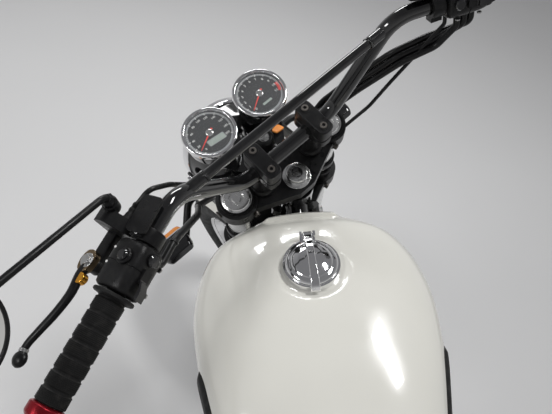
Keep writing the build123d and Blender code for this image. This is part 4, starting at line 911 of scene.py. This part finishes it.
# Headlamp
LAMP = FORK @ frame_of((LAMP_X, 0, LAMP_Z), (0, 1, 0), AHEAD)
bowl_profile = [(85, 12), (83.6, 9), (80, -30), (72, -50), (54, -66), (26, -74), (0, -76)]
bowl = lathe(soften(bowl_profile, 10, closed=False) + [(0, -73), (80, 8)], 96)
rim = turned_ring([(82, 30), (84.6, 30.5), (88, 27), (88, 15), (85.6, 12), (82, 12)], 1.6, 96)
lens = lathe([(82 * k / 12, 41.5 - 12 * (k / 12) ** 2) for k in range(13)], 96, closed=False)
reflector = lathe([(0, -34), (20, -30), (44, -16), (66, 8), (81, 28)], 72, closed=False)
bulb = turned([(0, 8), (6, 6), (9, -4), (9, -34), (0, -34)], 3, 32)
piece("headlamp_shell", {"gloss": [bowl], "chrome": [rim, reflector], "ink": [bulb]}, LAMP, "steering",
      "gloss_plastic", ["headlamp"])
piece("headlamp_lens", {"glass": [lens]}, LAMP, "steering", "gloss_plastic")
ear = plate([(53, -162), (53, -118), (150, -136), (180, -148), (180, -172), (150, -170)], 8, -2, 2, 6)
ears, knobs = [], []
for s in SIDES:
    ears.append(moved(ear, frame_of((0, s * 93, 0), (1, 0, 0), (0, -1, 0))))
    ears += [moved(washer(20.8, 24.5, -7, 7, 1, 48), shift(FORK_X, s * FORK_Y, z)) for z in (-124, -156)]
    knobs.append(bolt((LAMP_X, s * FORK_Y, LAMP_Z), (0, s, 0), 7.5, 6, socket=False))
fork_piece("headlamp_ears", {"satin": ears, "chrome": knobs}, "black_paint", bevel=0.6)


def blinker(side):
    """An oblong indicator on its stalk: shell, trim, lens, stalk and collar."""
    place = frame_of((103, side * 198, -181), (0, 1, 0), AHEAD)

    def shape(*rows):
        rings = []
        for height, cut in rows:
            w, t = (65 - cut) / 2, (30 - cut) / 2
            rings.append([(x, y, height) for x, y in oblong(-w, -t, w, t, 12 - cut * 0.3, 8)])
        return moved(skin(rings), place)

    root = Vector((138, side * 95.2, LAMP_Z))
    line = [root, root + Vector((0, side * 34, 0)), (97, side * 171, -177)]
    return (shape((-34, 18), (-32, 14), (-24, 7), (-12, 2), (0, 0), (3.4, 0.4)),
            shape((3, -0.6), (3.4, -1.2), (5.4, -1.2), (6, -0.6)),
            shape((5.8, 2), (12, 2.6), (17, 4.6), (19.6, 9), (20, 14)),
            pipe(arced(line, [24]), 6.8, 24), rod(root, root + Vector((0, side * 9, 0)), 11, 32, 1.2))


shells, trims, lenses, stalks, collars = zip(blinker(1), blinker(-1))
fork_piece("front_blinkers", {"gloss": shells, "chrome": trims, "amber": lenses, "plastic": stalks + collars},
           "lamp_lens", ["front_indicators"])

# Ignition lock on a foot at the front of the top yoke
barrel = turned([(0, -46), (13, -46), (16, -42), (16, 4), (13.5, 8), (9, 8), (9, 5), (0, 5)], 1.2, 56)
lock_foot = prism(oblong(58.2, -12, 76, 12, 2), -33, -16)
key_slot = lathe([(0, 5.2), (8.8, 5.2), (8.8, 4.2)], 32, closed=False)
fork_piece("ignition_lock", {"satin": [moved(barrel, shift(LOCK_X, 0, 4)), lock_foot],
                             "steel": [moved(key_slot, shift(LOCK_X, 0, 4))]}, "black_plastic", bevel=0.5)

# Key in the lock, with its tag
key_head = moved(plate([(-9, 16), (9, 16), (10, 30), (-10, 30)], 5, -1.8, 1.8, 6),
                 frame_of((LOCK_X, 0, 0), (0, 1, 0), (1, 0, 0)))
key_blade = brick((74.2, -3.4, 7), (75.8, 3.4, 16.5))
key_ring = moved(washer(6.4, 7.6, -0.6, 0.6, 0, 32), frame_of((LOCK_X, -9, 25), (0, 1, 0.3), (1, 0.3, 0)))
tag = moved(plate([(-6.5, -13), (6.5, -13), (5, 11), (-5, 11)], 5, -1.3, 1.3, 6),
            frame_of((70, -24, 11), (1, 0.2, 0.1), (0.25, -0.55, 0.9)))
barrel_ring = moved(washer(10, 13, 11.9, 13, 0.4, 48), shift(LOCK_X, 0, -1.4))
fork_piece("ignition_key", {"plastic": [key_head], "steel": [key_blade, key_ring], "amber": [tag],
                            "chrome": [barrel_ring]}, "black_plastic", bevel=0.4)


# Tyres with their tread
def tread_depth(kind, across, sector):
    """The groove's depth at a share across the tread (-1 to 1) and a share along one pattern."""
    a = abs(across)
    if a > 1:
        return 0.0
    if kind == "front":
        wave = 0.05 * sin(2 * pi * sector)
        groove = min(abs(a - 0.30 + wave), abs(a - 0.68 - wave)) < 0.045
        sipe = 0.38 < a < 0.62 and abs((sector + a * 0.8) % 0.5 - 0.25) < 0.055
        block = a > 0.76 and abs((sector + 0.3 * a) % 0.5 - 0.25) < 0.07
        return 3.2 if groove or sipe or block else 0.0
    bent = (sector + 0.35 * a) % 1
    cut = abs(bent - 0.5) < 0.075 and a > 0.12 or abs((bent + 0.5) % 1 - 0.5) < 0.075 and 0.45 < a
    return 3.8 if abs(a - 0.42) < 0.035 or abs(a - 0.08) < 0.03 or cut else 0.0


def tyre(kind, radius, crown, bead_half, place, patterns):
    """A tyre about Y, with its pattern so many times round it."""
    ring_radius = radius - crown
    steps, across = 12, 56
    inner = [(bead_half, 231), (bead_half - 4, 240), (bead_half, ring_radius + 8), (0, radius - 12),
             (-bead_half, ring_radius + 8), (4 - bead_half, 240), (-bead_half, 231)]
    rings = []
    for k, theta in enumerate(around(patterns * steps)):
        section = []
        for j in range(across + 1):
            angle = -136 + 272 * j / across
            deep = tread_depth(kind, angle / 64, (k % steps) / steps)
            ridge = 0.7 if 84 < abs(angle) < 90 or 116 < abs(angle) < 120 else 0
            bulge = crown - deep + ridge
            section.append((bulge * sin(radians(angle)), ring_radius + bulge * cos(radians(angle))))
        rings.append([(r * cos(theta), h, r * sin(theta)) for h, r in section + inner])
    piece(kind + "_tyre_rubber", {"tyre": [skin(rings, looped=True)]}, place, kind + "_wheel", "tyre",
          [kind + "_tyre"], sharp=42)


tyre("front", 319, 50, 32, FRONT, 44)
tyre("rear", 320, 65, 40, REAR, 36)


def exhaust(side):
    """A header pipe and its silencer."""
    run = [(144, side * 84, 584), (268, side * 130, 558), (326, side * 152, 330), (232, side * 152, 240),
           (-150, side * 152, 240), (-330, side * 205, 252)]
    header = pipe(arced(run, [75, 90, 90, 60], 14), 20, 32)
    axis = along((-326, side * 205, 252), (-826, side * 205, 290), (0, 0, 1))
    can = soften([(0, -4), (23, -4), (24, 14), (42, 90), (42, 380), (28, 492), (24, 500), (22, 500),
                  (22, 470), (0, 470)], 14, 8, closed=False)
    muffler = moved(lathe(can, 72, closed=False), axis)
    bands = [moved(washer(r, r + 2.6, h, h + 14, 0.8, 64), axis) for r, h in ((22.5, -3), (41.5, 112))]
    tip = moved(washer(20.5, 21.5, 470, 499, 0, 48), axis)
    first, second = Vector(run[0]), Vector(run[1])
    toward = (second - first).normalized()
    flange = plate([(-36, -9), (-22, -24), (22, -24), (36, -9), (36, 9), (22, 24), (-22, 24), (-36, 9)],
                   7, 2, 9, 5)
    studs = [bolt(first + toward * 9 + Vector((0, y, 0)), toward, 5, 7, socket=False) for y in (28, -28)]
    groups = {"pipe": [header, muffler], "steel": [*bands, *studs],
              "alloy": [moved(flange, along(first, second, (0, 1, 0)))], "dark_steel": [tip]}
    name = NAMES[side]
    chassis_piece("exhaust_pipe_" + name, groups, "chrome", ["exhaust_" + name], bevel=0.3)


def shock(side):
    """A shock absorber: spring, damper, collars, hat, eyes, rubbers and nuts."""
    low, high = Vector((-628.5, side * 145, 365.8)), Vector((-540, side * 145, 726))
    place = along(low, high, (0, 1, 0))
    length = (high - low).length
    start, stop = 62, length - 52
    coils, steps = 10.5, 210
    line = []
    for k in range(steps + 1):
        t = k / steps
        angle = 2 * pi * coils * t
        rise = start + (stop - start) * min(1, max(0, (t - 0.04) / 0.92))
        line.append(Vector((20.4 * cos(angle), 20.4 * sin(angle), rise)))
    body = turned([(0, 12), (11, 12), (12.5, 26), (15, 30), (15, 190), (13.6, 194), (6.2, 196),
                   (6.2, length - 44), (0, length - 44)], 1.5, 48)
    collars = merged(*(turned_ring([(14, a), (24.8, a), (25, a + 3), (24, b), (15, b)], 1, 48)
                       for a, b in ((start - 12, start - 3), (stop + 3.4, stop + 10))))
    hat = turned([(0, length - 12), (13, length - 14), (16, length - 24), (16, stop + 8), (0, stop + 8)], 3, 48)

    def across(half, radius, sides, bevel):
        way = Vector((0, half, 0))
        return [rod(p - way, p + way, radius, sides, bevel) for p in (low, high)]

    nuts = [bolt(p + Vector((0, side * 11, 0)), (0, side, 0), 7.5, 8, socket=False) for p in (low, high)]
    groups = {"chrome": [moved(pipe(line, 3.6, 12), place), *nuts], "satin": [moved(body, place)],
              "alloy": [moved(collars, place), *across(10, 14, 40, 1)], "black": [moved(hat, place)],
              "rubber": across(11, 10, 32, 0.5)}
    name = NAMES[side]
    chassis_piece("shock_absorber_" + name, groups, "steel", ["shock_" + name])


for s in SIDES:
    exhaust(s)
    shock(s)

# Chain, link by link, in the plane of the sprockets
CHAIN_PITCH, CHAIN_Y = 15.875, 81
FRONT_TEETH, REAR_TEETH = 15, 38


def chain_links():
    a, b = Vector((-118, 388)), Vector((AXLE_X, AXLE_Z))
    r1, r2 = (CHAIN_PITCH / (2 * sin(pi / teeth)) for teeth in (FRONT_TEETH, REAR_TEETH))
    between = b - a
    swing = acos((r1 - r2) / between.length)
    heading = atan2(between.y, between.x)
    line = []
    for centre, radius, first, last in ((a, r1, heading + swing, heading - swing + 2 * pi),
                                        (b, r2, heading - swing, heading + swing)):
        for k in range(41):
            t = first + (last - first) * k / 40
            line.append(centre + Vector((cos(t), sin(t))) * radius)
    line.append(line[0])
    total = sum((q - p).length for p, q in zip(line, line[1:]))
    count = 2 * round(total / CHAIN_PITCH / 2)
    pins, walked, k = [], 0.0, 0
    for n in range(count):
        target = total * n / count
        while walked + (line[k + 1] - line[k]).length < target:
            walked += (line[k + 1] - line[k]).length
            k += 1
        pins.append(line[k] + (line[k + 1] - line[k]).normalized() * (target - walked))
    plates, rollers = [], []
    for n, p in enumerate(pins):
        q = pins[(n + 1) % count]
        for half, radius, sides in ((4.6, 5.0, 12), (7.6, 2.4, 8)):
            rollers.append(rod((p.x, CHAIN_Y - half, p.y), (p.x, CHAIN_Y + half, p.y), radius, sides))
        ahead = (q - p).normalized()
        across = Vector((-ahead.y, ahead.x))
        waist = (p + q) / 2
        shape = []
        for centre, sign in ((p, -1), (q, 1)):
            for j in range(7):
                t = sign * radians(-78 + 26 * j)
                shape.append(centre + ahead * (cos(t) * 6.6 * sign) + across * (sin(t) * 6.6))
            shape.append(waist + across * (4.6 * sign))
        near = 4.8 if n % 2 else 6.2
        for low, high in ((near, near + 1.3), (-near - 1.3, -near)):
            points, faces = prism(shape, CHAIN_Y + low, CHAIN_Y + high)
            plates.append(([(x, y, z) for x, z, y in points], faces))
    return {"chain": plates, "steel": rollers}


chassis_piece("chain_links", chain_links(), "steel", ["chain"], sharp=25)

# Tail lamp and rear indicators
STALK_X, TAIL_Z = -1011.6, 643.7
tail = frame_of((-1051.6, 0, TAIL_Z), (0, 1, 0), (-1, 0, 0))
body_profile = soften([(40, 0), (40, -30), (30, -46), (0, -46)], 6, closed=False) + [(0, -40), (38, 0)]
dark_parts = [rod((-977.4, 0, 608.3), (STALK_X, 0, TAIL_Z), 15.6, 32, 1), moved(lathe(body_profile, 64), tail)]
lamp_rim = turned_ring([(36, 2.4), (39, 3), (40.6, 1), (40.6, -5), (36, -5)], 1, 72)
lamp_lens = lathe([(0, 6), (20, 5.4), (32, 4), (37, 1), (37, -2), (0, -2)], 72, closed=False)
rear_lenses = []
for s in SIDES:
    spot = frame_of((STALK_X, s * 106, TAIL_Z), (0, 1, 0), (-1, 0, 0))
    dark_parts.append(rod((STALK_X, s * 14, TAIL_Z), (STALK_X, s * 84, TAIL_Z), 6, 24, 0.5))
    dark_parts.append(moved(turned([(0, -22), (16, -20), (26, -9), (26, 4), (0, 4)], 4, 48), spot))
    rear_lenses.append(moved(turned([(0, 19), (18, 17), (24.6, 10), (24.6, 3), (0, 3)], 3, 48), spot))
chassis_piece("tail_lamp_unit", {"gloss": dark_parts, "chrome": [moved(lamp_rim, tail)],
                                 "red": [moved(lamp_lens, tail)], "amber": rear_lenses},
              "gloss_plastic", ["tail_lamp"])

# Seat: a stuffed cushion, then its sewn channels, welts and stitches. Rows of (x, half width, low, high)
SEAT_ROWS = [(-166, 80, 806, 836), (-178, 96, 801, 838), (-210, 104, 796, 832), (-300, 118, 787, 819),
             (-385, 124, 781, 815), (-470, 128, 779, 816), (-545, 122, 781, 824), (-620, 112, 785, 835),
             (-668, 98, 792, 843), (-688, 78, 802, 842)]
SEAT_MIDDLE = -427
CHANNELS = [-236 - 31 * k for k in range(13)]
VOXEL, FILL_LIMIT, FILL_FRAMES = 0.006, 7 * MM, 20


def seat_form():
    rings = []
    for x, half, low, high in SEAT_ROWS:
        ring = []
        for a in around(48):
            crown = 3 * (1 - min(1, abs(cos(a))) ** 2) if sin(a) > 0 else 0
            z = (low + high) / 2 + (high - low - 6) / 2 * squared(sin(a), 4.2) + crown
            ring.append((x, (half - 4) * squared(cos(a), 4.2), z))
        rings.append(ring)
    return skin(rings)


def settle(thing):
    """The modifiers' result becomes the mesh itself."""
    state = bpy.context.evaluated_depsgraph_get()
    mesh = bpy.data.meshes.new_from_object(thing.evaluated_get(state), depsgraph=state)
    thing.modifiers.clear()
    old = thing.data
    thing.data = mesh
    bpy.data.meshes.remove(old)
    for face in mesh.polygons:
        face.use_smooth = True


def stuff(thing):
    """A closed form blown up as cloth, each point's move capped."""
    remesh = thing.modifiers.new("even", "REMESH")
    remesh.mode = "VOXEL"
    remesh.voxel_size = VOXEL
    settle(thing)
    still = [v.co.copy() for v in thing.data.vertices]
    cloth = thing.modifiers.new("cloth", "CLOTH")
    settings = cloth.settings
    settings.quality = 5
    settings.use_pressure = True
    settings.uniform_pressure_force = 4
    settings.effector_weights.gravity = 0
    settings.mass = 0.3
    settings.tension_stiffness = settings.compression_stiffness = 20
    cloth.point_cache.frame_end = FILL_FRAMES
    for k in range(1, FILL_FRAMES + 1):
        scene.frame_set(k)
    settle(thing)
    scene.frame_set(1)
    for v, old in zip(thing.data.vertices, still):
        step = v.co - old
        if step.length > FILL_LIMIT:
            v.co = old + step.normalized() * FILL_LIMIT
    smooth = thing.modifiers.new("smooth", "SUBSURF")
    smooth.levels = smooth.render_levels = 1
    settle(thing)


def seat_half(x):
    """The seat's half width at any x."""
    rows = sorted(SEAT_ROWS)
    for a, b in zip(rows, rows[1:]):
        if a[0] <= x <= b[0]:
            return a[1] + (b[1] - a[1]) * (x - a[0]) / (b[0] - a[0])
    return rows[0][1] if x < rows[0][0] else rows[-1][1]


seat = chassis_piece("seat_cushion", {"leather": [seat_form()]}, "seat_cover", ["seat"], sharp=60)
stuff(seat)
to_seat = UPRIGHT.inverted()
for v in seat.data.vertices:
    p = to_seat @ v.co
    half = seat_half(p.x)
    top = ease(800, 812, p.z)
    inside = 1 - ease(half - 34, half - 26, abs(p.y))
    near = min(abs(p.x - c) for c in CHANNELS)
    edge = abs(abs(p.y) - (half - 30))
    span = ease(-640, -630, p.x) * (1 - ease(-225, -215, p.x))
    dip = 4.2 * exp(-(near / 4.2) ** 2) * inside * span
    p.z -= max(dip, 3.4 * exp(-(edge / 3.6) ** 2) * span) * top
    v.co = UPRIGHT @ p
tree = BVHTree.FromPolygons([v.co for v in seat.data.vertices], [f.vertices for f in seat.data.polygons])


def seat_hit(start, aim):
    """Where a line between two points of the upright frame meets the cushion."""
    start = UPRIGHT @ Vector(start)
    hit = tree.ray_cast(start, (UPRIGHT @ Vector(aim) - start).normalized())[0]
    return to_seat @ hit if hit else None


def welt(height):
    """Points round the seat's side, at a height that goes with x."""
    line = []
    for a in around(160):
        x = SEAT_MIDDLE + 268 * cos(a)
        way = Vector((cos(a), sin(a) * 0.62, 0)).normalized()
        centre = SEAT_MIDDLE + (x - SEAT_MIDDLE) * 0.55
        hit = seat_hit((centre + way.x * 400, way.y * 400, height(x)), (centre, 0, height(x)))
        if hit:
            line.append(hit)
    return line


lower = hoop(welt(lambda x: 791 + 12 * ((x - SEAT_MIDDLE) / 260) ** 2), 2.6)
upper = hoop(welt(lambda x: 806 + 17 * ((x - SEAT_MIDDLE) / 260) ** 2), 2.4)
chassis_piece("seat_welts", {"leather": [lower, upper]}, "seat_cover")
places = []
for c in CHANNELS:
    half = seat_half(c) - 33
    count = int(2 * half / 6.5)
    for k in range(count):
        y = -half + (k + 0.5) * 2 * half / count
        places.append(((c + 5, y - 1.9), (c + 5, y + 1.9)))
for s in SIDES:
    for k in range(64):
        x = -228 - 6.3 * k
        y = s * (seat_half(x) - 25.5)
        places.append(((x, y), (x - 3.9, y)))
stitches = []
for place in places:
    ends = [seat_hit((x, y, 900), (x, y, 700)) for x, y in place]
    if all(ends):
        lift = Vector((0, 0, 0.25))
        stitches.append(rod(ends[0] + lift, ends[1] + lift, 0.55, 6, 0.2))
chassis_piece("seat_stitches", {"thread": stitches}, "seat_cover")

# Engine fittings: cover rims and screws, cap nuts, plug caps, intake clips
CASE_HALF, BARREL_X, HEAD_TOP = 115, 28, 665.3
rims, screws = [], []
for s, x, z, r, depth in ((1, 82, 342, 72, 38), (-1, 54, 342, 74, 34), (-1, -10, 356, 44, 24)):
    flat = frame_of((x, s * (CASE_HALF - 1), z), (1, 0, 0), (0, s, 0))
    edge = [(r - 33, depth - 4.2), (r - 31, depth + 0.6), (r - 11, depth + 0.6), (r - 0.4, depth - 11),
            (r + 0.4, depth - 12), (r + 0.4, 6), (r - 2, 6)]
    middle = [(0, depth - 3.6), (r - 38, depth - 3.6), (r - 36, depth - 3.9)]
    rims += [moved(turned(edge, 1.6, 96), flat), moved(lathe(middle, 72, closed=False), flat)]
    count = 8 if r > 60 else 6
    for k in range(count):
        a = 2 * pi * (k + 0.5) / count
        spot = Vector((x + (r - 21) * cos(a), s * (CASE_HALF - 1 + depth + 0.4), z + (r - 21) * sin(a)))
        screws.append(bolt(spot, (0, s, 0), 3.6, 2.6))
chassis_piece("engine_covers", {"polished": rims, "steel": screws}, "bare_alloy", sharp=30)
nuts = [bolt((BARREL_X + d, s * 92, HEAD_TOP + 34), (0, 0, 1), 5, 5, socket=False)
        for d in (-42, 4, 50) for s in SIDES]
chassis_piece("head_nuts", {"steel": nuts}, "steel")
plug_cap = turned([(0, 0), (10, 0), (10, 16), (7, 22), (7, 40), (0, 44)], 2, 24)
caps = [moved(plug_cap, frame_of((BARREL_X + 84, s * 46, HEAD_TOP - 6), (0, 1, 0), (0.8, 0, 0.6)))
        for s in SIDES]
chassis_piece("plug_caps", {"rubber": caps}, "black_plastic")
clips = []
for s in SIDES:
    for x in (BARREL_X - 112, -196):
        clips.append(moved(washer(27.4, 29, -4, 4, 0.5, 48), frame_of((x, s * 52, 622), (0, 1, 0), (1, 0, 0))))
        clips.append(brick((x - 4, s * 52 - 5, 650), (x + 4, s * 52 + 5, 656)))
chassis_piece("intake_clips", {"steel": clips}, "steel", bevel=0.5)

# Floor, world and lamps
FLOOR_Z = -0.0004
floor = bpy.data.meshes.new("floor")
floor.from_pydata([(x, y, FLOOR_Z) for x, y in ((-9, -9), (9, -9), (9, 9), (-9, 9))], [], [(0, 1, 2, 3)])
floor.materials.append(surface("studio_floor", (0.78, 0.78, 0.78), 0.75, vary=0.01, vary_scale=1,
                               rough_vary=0.03))
ground = placed("floor", floor)

world = bpy.data.worlds.new("world")
scene.world = world
world.use_nodes = True
nodes, links = world.node_tree.nodes, world.node_tree.links
split = nodes.new("ShaderNodeSeparateXYZ")
links.new(nodes.new("ShaderNodeTexCoord").outputs["Generated"], split.inputs[0])
sky = nodes.new("ShaderNodeValToRGB")
low, high = sky.color_ramp.elements
low.position, low.color = 0.0, (0.86, 0.86, 0.86, 1)
high.position, high.color = 0.75, (0.30, 0.30, 0.31, 1)
links.new(split.outputs["Z"], sky.inputs["Fac"])
links.new(sky.outputs["Color"], nodes["Background"].inputs["Color"])
nodes["Background"].inputs["Strength"].default_value = 0.62


def lamp(name, place, aim, size, power):
    """An oblong area lamp, aimed at a point."""
    data = bpy.data.lights.new(name, "AREA")
    data.shape = "RECTANGLE"
    data.size, data.size_y = size
    data.energy = power
    thing = placed(name, data)
    thing.location = place
    thing.rotation_euler = (Vector(aim) - Vector(place)).to_track_quat("-Z", "Y").to_euler()


lamp("overhead", (0.6, -0.8, 3.4), (0.1, 0, 0.7), (1.0, 0.30), 36)
lamp("side", (-0.8, 2.8, 2.8), (0, 0, 0.6), (1.2, 0.38), 30)
lamp("back", (2.8, 0.4, 2.6), (0, 0, 0.7), (1.3, 0.5), 26)
